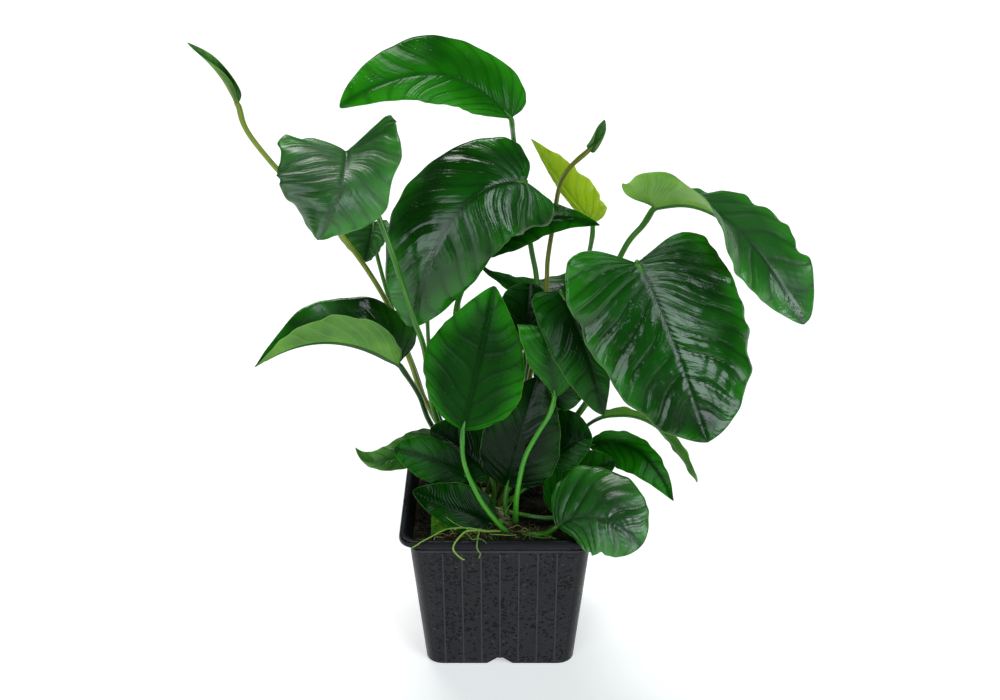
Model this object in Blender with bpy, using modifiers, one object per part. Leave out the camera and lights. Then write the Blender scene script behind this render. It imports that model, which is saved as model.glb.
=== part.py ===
"""Potted anubias: a broad-leaved water plant in a thin square plastic nursery pot.

Sizes are in millimetres and scaled to metres when each object is built. The origin is the centre of
the pot's base, +Z is up and -Y is the front. Leaf places were read from the photograph by eye.
"""
import math

import bmesh
import bpy
from mathutils import Vector

MM = 0.001

# pot
POT_HEIGHT = 92.0
RIM_WIDTH = 110.0
TOP_WIDTH = 100.0
FOOT_WIDTH = 85.0
FOOT_CORNER = 10.5
TOP_CORNER = 9.5
WALL = 1.1
FLOOR = 1.2
LIP_HEIGHT = 4.0
BODY_TOP = 86.5
CORNER_STEPS = 4
NOTCH_WIDE = 16.0
NOTCH_NARROW = 3.5
NOTCH_HEIGHT = 4.7
NOTCH_DEPTH = 7.5
POCKET_HALF_WIDTH = 9.5
POCKET_TOP = 6.0

# growing medium
FILL_TOP = 83.0
FILL_GAP = 0.4
FILL_ROUGHNESS = 0.5

# creeping stem and roots
STEM_RADIUS = 4.0
STEM_HEIGHT = 85.0
STEM_FRONT = (7.0, -37.0)
STEM_BACK = (-18.0, 32.0)
ROOT_RADIUS = 0.6

# leaves
BLADE_THICKNESS = 0.8
JOINT_GAP = 2.0
STALK_END = 0.6
STALK_STEPS = 2
LARGE_HALF_WIDTH = 20.0
TIGHT_CURL = 100.0

NAME = "potted_anubias"


def clear_scene():
    for item in list(bpy.data.objects):
        bpy.data.objects.remove(item, do_unlink=True)


def collection(name):
    group = bpy.data.collections.new(name)
    bpy.context.scene.collection.children.link(group)
    return group


# materials

def material(name, colour, roughness, metallic=0.0):
    mat = bpy.data.materials.new(name)
    mat.use_nodes = True
    shader = mat.node_tree.nodes["Principled BSDF"]
    shader.inputs["Base Color"].default_value = (*colour, 1.0)
    shader.inputs["Roughness"].default_value = roughness
    shader.inputs["Metallic"].default_value = metallic
    return mat


def pot_plastic():
    return material("pot_plastic", (0.035, 0.035, 0.042), 0.45)


def fill_brown():
    return material("growing_medium", (0.035, 0.028, 0.018), 0.95)


def stem_green():
    return material("rhizome_green", (0.10, 0.14, 0.04), 0.6)


def leaf_dark():
    return material("leaf_dark", (0.03, 0.11, 0.02), 0.35)


def leaf_bright():
    return material("leaf_bright", (0.09, 0.22, 0.03), 0.35)


def leaf_yellow():
    return material("leaf_yellow", (0.30, 0.42, 0.02), 0.4)


def stalk_green():
    return material("stalk_green", (0.10, 0.26, 0.03), 0.4)


def stalk_olive():
    return material("stalk_olive", (0.16, 0.17, 0.04), 0.45)


# pot and growing medium

def rounded_square(half, corner, height):
    """Corner points of a square with rounded corners, counterclockwise."""
    points = []
    for quarter in range(4):
        middle = Vector((half - corner, half - corner))
        for step in range(CORNER_STEPS + 1):
            angle = math.pi / 2 * step / CORNER_STEPS
            local = middle + corner * Vector((math.cos(angle), math.sin(angle)))
            turn = math.pi / 2 * quarter
            x = local.x * math.cos(turn) - local.y * math.sin(turn)
            y = local.x * math.sin(turn) + local.y * math.cos(turn)
            points.append(Vector((x, y, height)) * MM)
    return points


def loft(name, rings, group, mat):
    """Closed body through rings of equal point count, capped at the first and the last ring."""
    mesh = bpy.data.meshes.new(name)
    bm = bmesh.new()
    rows = [[bm.verts.new(point) for point in ring] for ring in rings]
    count = len(rows[0])
    for low, high in zip(rows, rows[1:]):
        for i in range(count):
            j = (i + 1) % count
            bm.faces.new((low[i], low[j], high[j], high[i]))
    bm.faces.new(list(reversed(rows[0])))
    bm.faces.new(rows[-1])
    bmesh.ops.recalc_face_normals(bm, faces=bm.faces)
    bm.to_mesh(mesh)
    bm.free()
    mesh.materials.append(mat)
    item = bpy.data.objects.new(name, mesh)
    group.objects.link(item)
    return item


def body_half(height):
    return (FOOT_WIDTH + (TOP_WIDTH - FOOT_WIDTH) * height / BODY_TOP) / 2


def body_corner(height):
    return FOOT_CORNER + (TOP_CORNER - FOOT_CORNER) * height / BODY_TOP


def pot_rings():
    """Up the outside, over the rolled lip and down the inside."""
    rim = RIM_WIDTH / 2
    lip_foot = POT_HEIGHT - LIP_HEIGHT
    inner_top = BODY_TOP - 1.0
    outside = [
        (body_half(0) - 0.5, body_corner(0), 0.0),
        (body_half(0.6), body_corner(0), 0.6),
        (body_half(BODY_TOP), TOP_CORNER, BODY_TOP),
        (body_half(BODY_TOP) + 0.7, TOP_CORNER, BODY_TOP + 0.5),
    ]
    lip = [
        (rim - 4.6, 9.5, lip_foot),
        (rim - 0.9, 9.6, lip_foot),
        (rim, 10.0, lip_foot + 1.0),
        (rim, 10.0, POT_HEIGHT - 1.2),
        (rim - 0.5, 9.7, POT_HEIGHT - 0.3),
        (rim - 1.4, 9.3, POT_HEIGHT),
        (rim - 3.2, 8.6, POT_HEIGHT - 0.2),
        (rim - 4.4, 8.2, POT_HEIGHT - 1.4),
    ]
    inside = [
        (body_half(inner_top) - WALL, TOP_CORNER - WALL, inner_top),
        (body_half(FLOOR) - WALL, FOOT_CORNER - WALL, FLOOR),
    ]
    return [rounded_square(*ring) for ring in outside + lip + inside]


def foot_notch(cutters, quarter):
    """Wedge that cuts the drain notch in the middle of one foot edge."""
    wide = NOTCH_WIDE / 2
    narrow = NOTCH_NARROW / 2
    section = [(-wide, -1.0), (wide, -1.0), (wide, 0.0),
               (narrow, NOTCH_HEIGHT), (-narrow, NOTCH_HEIGHT), (-wide, 0.0)]
    near = FOOT_WIDTH / 2 - NOTCH_DEPTH
    far = FOOT_WIDTH / 2 + 3.0
    return turned_prism("notch_%d" % quarter, cutters, section, near, far, quarter)


def notch_pocket(name, cutters, quarter, gap):
    """Block behind a drain notch that closes it toward the inside of the pot."""
    side = POCKET_HALF_WIDTH + gap
    section = [(-side, FLOOR / 2), (side, FLOOR / 2), (side, POCKET_TOP + gap), (-side, POCKET_TOP + gap)]
    near = FOOT_WIDTH / 2 - NOTCH_DEPTH - WALL - gap
    far = FOOT_WIDTH / 2 - WALL / 2
    return turned_prism("%s_%d" % (name, quarter), cutters, section, near, far, quarter)


def turned_prism(name, cutters, section, near, far, quarter):
    rings = [[Vector((depth, side, up)) * MM for side, up in section] for depth in (near, far)]
    item = loft(name, rings, cutters, pot_plastic_material)
    item.rotation_euler = (0, 0, math.pi / 2 * quarter)
    hide_cutter(item)
    return item


def hide_cutter(item):
    item.hide_render = True
    item.display_type = "WIRE"


def combine(item, other, operation):
    step = item.modifiers.new(other.name, "BOOLEAN")
    step.operation = operation
    step.solver = "EXACT"
    step.object = other


def build_pot(group, cutters):
    pot = loft("pot", pot_rings(), group, pot_plastic_material)
    for quarter in range(4):
        combine(pot, notch_pocket("pocket", cutters, quarter, 0.0), "UNION")
    for quarter in range(4):
        combine(pot, foot_notch(cutters, quarter), "DIFFERENCE")
    return pot


def fill_height(x, y):
    """Uneven top of the growing medium."""
    return FILL_TOP + FILL_ROUGHNESS * (math.sin(0.21 * x + 0.6) * math.cos(0.17 * y) - 0.4)


def build_fill(group, cutters):
    low = FLOOR + FILL_GAP
    foot = rounded_square(body_half(low) - WALL - FILL_GAP, FOOT_CORNER - WALL, low)
    top_half = body_half(FILL_TOP) - WALL - FILL_GAP
    rings = [foot]
    for share in (1.0, 0.7, 0.4, 0.12):
        ring = rounded_square(top_half * share, (TOP_CORNER - WALL) * share, 0.0)
        for point in ring:
            point.z = fill_height(point.x / MM, point.y / MM) * MM
        rings.append(ring)
    fill = loft("growing_medium", rings, group, fill_material)
    trough = build_stem("stem_trough", cutters, STEM_RADIUS + FILL_GAP)
    hide_cutter(trough)
    combine(fill, trough, "DIFFERENCE")
    for quarter in range(4):
        combine(fill, notch_pocket("pocket_room", cutters, quarter, FILL_GAP), "DIFFERENCE")
    return fill


# creeping stem and roots

def stem_points(radius):
    """Centre points and radii from the front tip to the older back end."""
    front = Vector((*STEM_FRONT, STEM_HEIGHT))
    back = Vector((*STEM_BACK, STEM_HEIGHT))
    places = (0.0, 0.04, 0.2, 0.4, 0.6, 0.8, 0.96, 1.0)
    shares = (0.55, 0.95, 1.0, 0.96, 1.0, 0.95, 0.9, 0.5)
    return [(front.lerp(back, place), radius * share) for place, share in zip(places, shares)]


def tube(name, points, group, mat, sides=6):
    """Round rod through centre points in millimetres, each with its own radius."""
    start = Vector(points[0][0])
    data = bpy.data.curves.new(name, "CURVE")
    data.dimensions = "3D"
    data.bevel_depth = MM
    data.bevel_resolution = (sides - 4) // 2
    data.use_fill_caps = True
    line = data.splines.new("POLY")
    line.points.add(len(points) - 1)
    for spot, (place, radius) in zip(line.points, points):
        spot.co = (*((Vector(place) - start) * MM), 1.0)
        spot.radius = radius
    data.materials.append(mat)
    item = bpy.data.objects.new(name, data)
    item.location = start * MM
    group.objects.link(item)
    weld = item.modifiers.new("close_caps", "WELD")
    weld.merge_threshold = 0.00002
    return item


def as_mesh(item):
    """The object with its curve turned into a closed mesh."""
    bpy.context.view_layer.update()
    graph = bpy.context.evaluated_depsgraph_get()
    mesh = bpy.data.meshes.new_from_object(item.evaluated_get(graph))
    bm = bmesh.new()
    bm.from_mesh(mesh)
    bmesh.ops.remove_doubles(bm, verts=bm.verts, dist=0.00002)
    bmesh.ops.recalc_face_normals(bm, faces=bm.faces)
    bm.to_mesh(mesh)
    bm.free()
    name = item.name
    group = item.users_collection[0]
    place = item.matrix_world.copy()
    bpy.data.objects.remove(item, do_unlink=True)
    solid = bpy.data.objects.new(name, mesh)
    solid.matrix_world = place
    group.objects.link(solid)
    return solid


def build_stem(name, group, radius):
    return as_mesh(tube(name, stem_points(radius), group, stem_material, sides=10))


def root(name, way, cutters):
    points = [(place, ROOT_RADIUS) for place in smooth(way, 2)]
    item = as_mesh(tube(name, points, cutters, stem_material))
    hide_cutter(item)
    return item


def build_rhizome(group, cutters):
    """Stem with the visible roots that hang over the front rim."""
    stem = build_stem("rhizome", group, STEM_RADIUS)
    roots = [
        root("root_arch", [(4, -35, 85.5), (-8, -43, 88), (-15, -50, 93.4), (-19, -55, 93),
                           (-21, -57.6, 88), (-18, -57.6, 84), (-16, -57, 80)], cutters),
        root("root_fork", [(-8, -43, 88), (-9.5, -50, 93.2), (-11, -56, 92.7), (-10.5, -58, 86),
                           (-9, -57.4, 81)], cutters),
        root("root_left", [(4, -34, 84.6), (-14, -39, 86.5), (-27, -45, 90), (-33, -50, 93.4),
                           (-40, -54.5, 93.4), (-46, -58, 90)], cutters),
    ]
    for item in roots:
        combine(stem, item, "UNION")
    return stem


# leaves

def smooth(way, steps):
    """Points of a smooth line through the given places, with a few steps between each two."""
    places = [Vector(place) for place in way]
    before = 2 * places[0] - places[1]
    after = 2 * places[-1] - places[-2]
    row = [before] + places + [after]
    points = []
    for i in range(1, len(row) - 2):
        p0, p1, p2, p3 = row[i - 1:i + 3]
        for step in range(steps):
            t = step / steps
            points.append(0.5 * (2 * p1 + (p2 - p0) * t + (2 * p0 - 5 * p1 + 4 * p2 - p3) * t * t
                                 + (3 * p1 - p0 - 3 * p2 + p3) * t ** 3))
    points.append(places[-1])
    return points


def both(value):
    """A pair for the left and the right half of a blade."""
    return value if isinstance(value, (tuple, list)) else (value, value)


class Blade:
    """Leaf blade: a midrib arc through joint, middle and tip with a half blade on each side.

    half: greatest width of each half; face: direction of the top side at the joint and at the tip;
    fold: angle of each half above the blade's plane, at the joint and at the tip; curl: further bend
    of each half at its greatest width; heart: depth of the lobes behind the joint; wide: below 1 the
    greatest width moves toward the joint; lobe and blunt: fullness at the joint and at the tip;
    point: length of the drawn-out tip; ripple: height, count and phase of the waves of the margin.
    """

    def __init__(self, joint, middle, tip, face, half, face_tip=None, fold=(0, 0), fold_tip=None,
                 curl=(0, 0), heart=1.5, wide=0.8, lobe=0.9, blunt=0.7, point=0.08, ripple=(0.03, 2.5, 0.5)):
        self.joint = Vector(joint)
        self.tip = Vector(tip)
        self.bend = 2 * Vector(middle) - (self.joint + self.tip) / 2
        self.face = Vector(face).normalized()
        self.face_tip = Vector(face_tip or face).normalized()
        self.half = both(half)
        self.fold = fold
        self.fold_tip = fold_tip or fold
        self.curl = curl
        self.heart = both(heart)
        self.wide = both(wide)
        self.lobe = both(lobe)
        self.blunt = both(blunt)
        self.point = point
        self.ripple = ripple
        self.measure()

    def on_arc(self, t):
        return (1 - t) ** 2 * self.joint + 2 * t * (1 - t) * self.bend + t * t * self.tip

    def measure(self):
        """Length of the midrib and the arc length at even steps of its parameter."""
        steps = 60
        self.arc = [0.0]
        last = self.joint
        for i in range(1, steps + 1):
            here = self.on_arc(i / steps)
            self.arc.append(self.arc[-1] + (here - last).length)
            last = here
        self.length = self.arc[-1]

    def parameter(self, distance):
        steps = len(self.arc) - 1
        for i in range(steps):
            if self.arc[i + 1] >= distance:
                share = (distance - self.arc[i]) / (self.arc[i + 1] - self.arc[i])
                return (i + share) / steps
        return 1.0

    def frame(self, y):
        """Place, sideways direction, upward direction and share of the length at distance y."""
        share = min(max(y / self.length, 0.0), 1.0)
        t = self.parameter(share * self.length)
        along = ((1 - t) * (self.bend - self.joint) + t * (self.tip - self.bend)).normalized()
        place = self.on_arc(t)
        if y < 0:
            place = self.joint + along * y
        face = self.face.lerp(self.face_tip, share).normalized()
        side = along.cross(face).normalized()
        return place, side, side.cross(along), share

    def margin(self, u, s):
        """Distance of the margin from the midrib and along it, for half s."""
        full = self.lobe[s] + (self.blunt[s] - self.lobe[s]) * min(1.0, 2 * u)
        x = self.half[s] * math.sin(math.pi * u ** self.wide[s]) ** full if 0 < u < 1 else 0.0
        y = u - self.heart[s] * u * (1 - u) ** 3 + self.point * u ** 10
        return x, self.length * y / (1 + self.point)

    def spot(self, u, v):
        """Point of the surface: u from joint to tip along the margin, v from -1 at the left margin to 1."""
        s = 1 if v > 0 else 0
        across = abs(v)
        edge_x, edge_y = self.margin(u, s)
        vein_y = self.length * u ** 1.7
        x = edge_x * across
        place, side, up, share = self.frame(vein_y + (edge_y - vein_y) * across ** 1.4)
        start = math.radians(self.fold[s] * (1 - share) + self.fold_tip[s] * share)
        bend = math.radians(self.curl[s]) / self.half[s]
        if abs(bend) > 1e-6:
            out = (math.sin(start + bend * x) - math.sin(start)) / bend
            rise = (math.cos(start) - math.cos(start + bend * x)) / bend
        else:
            out = x * math.cos(start)
            rise = x * math.sin(start)
        height, waves, phase = self.ripple
        swing = math.sin(2 * math.pi * waves * u + phase + (2.1 if s else 0.0))
        rise += height * self.half[s] * swing * across ** 3 * min(1.0, 4 * u, 4 * (1 - u))
        return place + side * (out if s else -out) + up * rise


def blade_mesh(name, blade, rows, columns):
    """Open surface of a blade, with one point at the joint and one at the tip, around the joint."""
    mesh = bpy.data.meshes.new(name)
    bm = bmesh.new()
    base = bm.verts.new((0, 0, 0))
    lines = []
    for i in range(1, rows):
        line = [blade.spot(i / rows, k / columns) for k in range(-columns, columns + 1)]
        lines.append([bm.verts.new((point - blade.joint) * MM) for point in line])
    end = bm.verts.new((blade.tip - blade.joint) * MM)
    for k in range(2 * columns):
        bm.faces.new((base, lines[0][k + 1], lines[0][k]))
        bm.faces.new((lines[-1][k], lines[-1][k + 1], end))
    for near, far in zip(lines, lines[1:]):
        for k in range(2 * columns):
            bm.faces.new((near[k], near[k + 1], far[k + 1], far[k]))
    bm.to_mesh(mesh)
    bm.free()
    return mesh


def build_leaf(group, name, blade, mat, rows=None):
    columns = 3 if max(blade.half) > LARGE_HALF_WIDTH or max(map(abs, blade.curl)) > TIGHT_CURL else 2
    if rows is None:
        rows = 9 if columns == 3 else 7
    mesh = blade_mesh("leaf_" + name, blade, rows, columns)
    mesh.materials.append(mat)
    item = bpy.data.objects.new("leaf_" + name, mesh)
    item.location = blade.joint * MM
    group.objects.link(item)
    shell = item.modifiers.new("thickness", "SOLIDIFY")
    shell.thickness = BLADE_THICKNESS * MM
    shell.offset = 0.0
    return item


def build_stalk(group, name, blade, way, radii, mat):
    """Stalk from its foot on the stem, through the places of way, to just short of the blade."""
    line = smooth(list(way) + [tuple(blade.joint)], STALK_STEPS)
    last = line[-1] - line[-2]
    line[-1] = line[-1] - last.normalized() * min(JOINT_GAP, last.length / 2)
    count = len(line) - 1
    foot, top = radii
    points = [(place, foot + (top - foot) * i / count) for i, place in enumerate(line)]
    points[-1] = (line[-1], top * STALK_END)
    return tube("stalk_" + name, points, group, mat)


def seat(rank, y):
    """Foot of a stalk on the left, the top or the right of the stem, at distance y from the front."""
    side = {"left": -3.4, "top": 0.0, "right": 3.4}[rank]
    x = STEM_FRONT[0] + (STEM_BACK[0] - STEM_FRONT[0]) * (y - STEM_FRONT[1]) / (STEM_BACK[1] - STEM_FRONT[1])
    return (x + side, y + 0.37 * side, 90.0 if rank == "top" else 89.3)


class Planter:
    """Adds each blade and its stalk to the collection."""

    def __init__(self, group):
        self.group = group

    def add(self, name, blade_mat, stalk_mat, blade, way, radii, rows=None):
        build_leaf(self.group, name, blade, blade_mat, rows)
        build_stalk(self.group, name, blade, way, radii, stalk_mat)


def upper_leaves(group):
    """Tall leaves of the left and the middle, from left to right."""
    plant = Planter(group)
    plant.add("rolled", leaf_dark_material, stalk_olive_material,
              Blade((-140, 45, 305), (-147, 42, 322), (-162, 38, 339), face=(-0.6, -0.8, -0.2), half=6,
                    curl=(150, 150), heart=0, wide=0.7, point=0.12, ripple=(0, 1, 0)),
              [seat("left", 23), (-43, 29, 133), (-52, 36, 156), (-65, 44, 190), (-86, 40, 229), (-113, 42, 259),
               (-135, 44, 288)], (1.6, 1.5))
    plant.add("saddle", leaf_dark_material, stalk_green_material,
              Blade((-79, 10, 289), (-80, -18, 278), (-91, -30, 256), face=(-0.1, -0.62, 0.75), half=(31, 34),
                    fold=(22, 38), fold_tip=(-70, -12), curl=(0, -36), heart=(3.2, 2.8), wide=(0.6, 0.85),
                    lobe=(1.2, 0.8), blunt=(1.5, 0.7), point=0.03, ripple=(0.07, 2.5, 0.5)),
              [seat("left", 13), (-36, 11, 132), (-41, 0, 180), (-46, -5, 201), (-51, -7, 221), (-56, -4, 238),
               (-67, 6, 265)], (1.8, 1.5))
    plant.add("arching", leaf_bright_material, stalk_green_material,
              Blade((6, 38, 299), (-33, 30, 324), (-82, 15, 311), face=(0, -0.42, 0.9), half=(18, 27),
                    fold=(-10, 18), curl=(-15, -14), heart=(0.1, 1.6), wide=(0.9, 0.97), lobe=(0.9, 0.75),
                    blunt=0.68, point=0.1, ripple=(0.03, 3, 0.5)),
              [seat("top", 8), (9, 14, 116), (18, 32, 171), (21, 48, 198), (18, 57, 216), (13, 63, 243),
               (8, 55, 278)], (1.8, 1.4))
    plant.add("high", leaf_dark_material, stalk_green_material,
              Blade((14, 28, 267), (-23, 10, 255), (-48, 2, 193), face=(-0.05, -0.78, 0.62), half=(30, 34),
                    fold=(-8, 0), curl=(-14, -24), heart=(3.4, 1.9), wide=(1.0, 0.95), blunt=0.62, point=0.03,
                    ripple=(0.03, 3, 0.5)),
              [seat("left", 8), (-18, 10, 125), (-24, 16, 179), (-23, 22, 200), (-13, 30, 218), (4, 34, 240)],
              (1.9, 1.6))
    plant.add("shaded", leaf_dark_material, stalk_green_material,
              Blade((-17, 46, 221), (19, 40, 240), (55, 34, 240), face=(0, -0.5, 0.85), half=(17, 13),
                    fold=(-2, -12), curl=(0, -20), heart=1.2, wide=0.9, blunt=0.75, point=0.2),
              [seat("top", 15), (-15, 20, 112), (-22, 40, 161), (-24, 48, 186), (-21, 50, 204)], (1.6, 1.3))
    plant.add("yellow", leaf_yellow_material, stalk_green_material,
              Blade((53, 62, 230), (35, 62, 253), (17, 60, 281), face=(0.1, -0.95, 0.1), half=(3, 15),
                    fold=(0, 5), curl=(0, 10), heart=(0.4, 1.4), wide=0.75, blunt=0.8, point=0.1),
              [seat("right", 12), (14, 14, 106), (35, 28, 144), (43, 45, 178), (52, 60, 218)], (1.6, 1.4))
    plant.add("bud", leaf_yellow_material, stalk_olive_material,
              Blade((48, 42, 280), (52, 42, 286), (56, 42, 297), face=(0, -0.9, 0.3), half=7,
                    curl=(150, 150), heart=0, wide=0.7, point=0.2, ripple=(0, 1, 0)),
              [seat("top", 1), (7, 6, 114), (20, 22, 170), (26, 42, 198), (27, 48, 214), (30, 54, 233),
               (33, 54, 255), (38, 48, 268)], (1.5, 1.3), rows=5)
    plant.add("small_left", leaf_dark_material, stalk_green_material,
              Blade((-73, 70, 228), (-74, 60, 221), (-77, 54, 210), face=(0.1, -0.5, 0.8), half=(12, 24),
                    fold=(35, 28), heart=1, point=0.05),
              [seat("left", 29), (-42, 48, 117), (-51, 58, 139), (-64, 70, 173), (-73, 76, 209)], (1.5, 1.2))


def right_leaves(group):
    plant = Planter(group)
    plant.add("heart", leaf_dark_material, stalk_green_material,
              Blade((68, -38, 247), (84, -50, 216), (104, -72, 164), face=(0.1, -0.8, 0.6), half=(47, 41),
                    fold=(-4, -4), curl=(-20, -14), heart=(2.7, 3.9), wide=(0.95, 0.9), lobe=(1.3, 1.0),
                    blunt=(0.6, 0.7), point=0),
              [seat("right", -5), (32, 5, 121), (52, 4, 152), (63, -6, 183), (68, -22, 220)], (2.0, 1.8), rows=11)
    plant.add("upper_right", leaf_dark_material, stalk_green_material,
              Blade((81, 12, 258), (119, 2, 254), (159, -20, 205), face=(0, -0.1, 1), face_tip=(0.25, -0.75, 0.6),
                    half=(35, 30), fold=(-15, 72), fold_tip=(0, -25), curl=(-10, -10), heart=(0.6, 2.6),
                    wide=(1.0, 0.8), lobe=0.8, blunt=(0.5, 0.7), point=0.05, ripple=(0.05, 5, 0.5)),
              [seat("right", 2), (26, 10, 125), (45, 14, 174), (55, 14, 204), (67, 12, 236), (76, 13, 248)],
              (1.8, 1.6), rows=11)
    plant.add("bowed", leaf_dark_material, stalk_green_material,
              Blade((60, 62, 207), (26, 62, 190), (-11, 55, 207), face=(0, -0.35, 0.94), half=(9, 12),
                    fold=(-15, -10), heart=1, wide=0.9, point=0.1),
              [seat("right", 22), (16, 26, 102), (48, 46, 145), (67, 60, 188)], (1.6, 1.4))
    plant.add("edgewise", leaf_dark_material, stalk_green_material,
              Blade((31, -25, 226), (44, -41, 200), (54, -48, 166), face=(0, -0.9, 0.45), half=(13, 18),
                    curl=(0, -10), heart=(2.6, 2.4), lobe=0.8, blunt=(0.9, 0.6), point=0.05),
              [seat("top", -7), (20, 4, 131), (31, 4, 166), (32, -8, 202)], (1.6, 1.3))
    plant.add("over_rim", leaf_dark_material, stalk_green_material,
              Blade((31, -42, 94), (52, -53, 107), (75, -61, 94), face=(0, -0.6, 0.8), face_tip=(0, -0.8, 0.6),
                    half=(30, 20), curl=(-20, -16), heart=(1.2, 0), wide=(0.85, 1.1), lobe=(0.6, 1.4),
                    blunt=(0.6, 0.45), point=0, ripple=(0.05, 3, 0.5)),
              [(11.5, -36, 86), (17, -38, 86), (25, -40, 88)], (1.5, 1.3))
    plant.add("low_right", leaf_dark_material, stalk_green_material,
              Blade((51, 10, 114), (78, -1, 118), (98, -15, 93), face=(0.2, -0.6, 0.75), half=(9, 15),
                    curl=(-20, -20), heart=0.4, wide=(0.75, 1.0), point=0.14),
              [seat("right", 7), (26, 10, 91), (42, 13, 106)], (1.3, 1.1))
    plant.add("curved_right", leaf_dark_material, stalk_green_material,
              Blade((59, 8, 135), (87, -4, 136), (110, -18, 107), face=(0.3, 0.6, 0.6), half=(11, 9),
                    fold=(20, 0), fold_tip=(0, 0), heart=1),
              [seat("right", 17), (29, 19, 100), (50, 18, 123)], (1.3, 1.1))
    plant.add("torn_tip", leaf_dark_material, stalk_green_material,
              Blade((25, -10, 113), (37, -9, 125), (51, -7, 132), face=(0, -0.8, 0.6), half=(22, 12),
                    heart=0.4, wide=(1.2, 0.9), lobe=0.7, blunt=0.5, point=0),
              [seat("right", -12), (20, -12, 105)], (1.3, 1.1))
    plant.add("low_shaded", leaf_dark_material, stalk_green_material,
              Blade((33, -26, 89), (44, -12, 103), (65, -8, 114), face=(0, -0.75, 0.66), half=(16, 12),
                    fold=(0, 20), heart=(0.6, 0), wide=0.95, blunt=0.6, point=0),
              [seat("right", -19), (22, -24, 88)], (1.3, 1.1))


def middle_leaves(group):
    plant = Planter(group)
    plant.add("centre", leaf_dark_material, stalk_green_material,
              Blade((-20, -26, 145), (-10, -21, 189), (-3, -13, 224), face=(-0.08, -0.86, 0.5), half=(31, 26),
                    fold=(-6, 6), curl=(-14, -10), heart=(1.1, 0.9), wide=(0.95, 0.9), blunt=0.72, point=0.1),
              [(5, -36, 90), (-2, -38, 94), (-11, -39, 109), (-17, -38, 124), (-20, -33, 134)], (2.0, 1.5))
    plant.add("inner_back", leaf_bright_material, stalk_green_material,
              Blade((-41, 30, 193), (-26, 34, 200), (-11, 40, 215), face=(0.3, 0.8, 0.5), half=(5, 8),
                    heart=0.4, wide=0.9, blunt=0.8, point=0.05),
              [seat("top", 22), (-35, 34, 118), (-40, 37, 143), (-41, 34, 173)], (1.4, 1.2))
    plant.add("folded_tip", leaf_bright_material, stalk_green_material,
              Blade((29, -30, 167), (24, -33, 207), (24, -14, 188), face=(0, -0.95, 0.45), face_tip=(0, 0.3, 0.95),
                    half=(15, 16), fold=(12, 5), curl=(-5, -5), heart=0, wide=(1.5, 1.0), lobe=(0.9, 0.6),
                    blunt=(0.5, 0.6), point=0.05),
              [(8.5, -31, 89.5), (9, -34, 106), (11, -35, 122), (14, -35, 135), (20, -35, 148), (26, -33, 158)],
              (1.9, 1.4), rows=9)
    plant.add("back_centre", leaf_dark_material, stalk_green_material,
              Blade((14, 2, 179), (15, 6, 197), (16, 12, 215), face=(0, -0.9, 0.4), half=(17, 13),
                    heart=0.5, wide=1.1, blunt=0.4, point=0),
              [seat("left", -3), (1, 3, 116), (12, 6, 159)], (1.4, 1.2))
    plant.add("glossy", leaf_dark_material, stalk_green_material,
              Blade((27, -14, 159), (34, -14, 174), (28, -10, 190), face=(0, -0.9, 0.4), half=(16, 14),
                    heart=1.6, lobe=0.7, blunt=0.65, point=0.05),
              [seat("top", -13), (16, -8, 116), (25, -10, 146)], (1.4, 1.2))
    plant.add("front_bright", leaf_bright_material, stalk_green_material,
              Blade((4, -22, 107), (11, -24, 140), (20, -14, 171), face=(0, -0.85, 0.55), half=(20, 23),
                    fold=(5, 5), curl=(-8, -8), heart=(0.6, 0.9), wide=(0.9, 0.95), lobe=0.8, blunt=0.6,
                    point=0.05),
              [(4, -27, 91), (3, -25, 98)], (1.4, 1.2))


def low_left_leaves(group):
    plant = Planter(group)
    plant.add("folded_left", leaf_dark_material, stalk_green_material,
              Blade((-56, 8, 168), (-95, 4, 184), (-133, -8, 174), face=(0, 0, 1), half=(20, 29),
                    fold=(75, 42), fold_tip=(60, 50), heart=(0.5, 1.9), wide=(0.85, 0.8), lobe=0.8,
                    blunt=(0.9, 1.1), point=0.1, ripple=(0.03, 4, 0.5)),
              [seat("left", 18), (-39, 19, 122), (-46, 15, 145)], (1.7, 1.5))
    plant.add("inner_left", leaf_bright_material, stalk_green_material,
              Blade((-5, -10, 106), (-19, -4, 118), (-39, -1, 132), face=(-0.1, -0.8, 0.6), half=(14, 18),
                    heart=1, wide=0.9, blunt=0.6, point=0),
              [seat("left", -15), (-3, -13, 99)], (1.3, 1.1))
    plant.add("low_oval", leaf_dark_material, stalk_green_material,
              Blade((-17, -15, 108), (-37, -19, 122), (-58, -21, 130), face=(0, -0.75, 0.65), half=(12, 12.5),
                    curl=(-15, -15), heart=0.6, wide=(0.95, 1.15), blunt=0.55, point=0),
              [seat("left", -21), (-12, -16, 100)], (1.3, 1.1))
    plant.add("twisted", leaf_dark_material, stalk_green_material,
              Blade((-34, 6, 122), (-66, 0, 110), (-81, -5, 122), face=(0, -0.6, 0.8), half=(8, 12),
                    heart=0.8, wide=0.75, blunt=0.85, point=0.1),
              [seat("left", 3), (-29, 5, 111)], (1.3, 1.1))
    plant.add("in_pot", leaf_dark_material, stalk_green_material,
              Blade((-3, -32, 88), (-25, -32, 99), (-48, -30, 109), face=(0, -0.8, 0.6), half=(11, 15),
                    heart=0.8, wide=0.85, blunt=0.65, point=0.05),
              [(1.5, -29.5, 89.5), (-1, -31, 88.6)], (1.3, 1.1))


clear_scene()
pot_plastic_material = pot_plastic()
fill_material = fill_brown()
stem_material = stem_green()
leaf_dark_material = leaf_dark()
leaf_bright_material = leaf_bright()
leaf_yellow_material = leaf_yellow()
stalk_green_material = stalk_green()
stalk_olive_material = stalk_olive()

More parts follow.
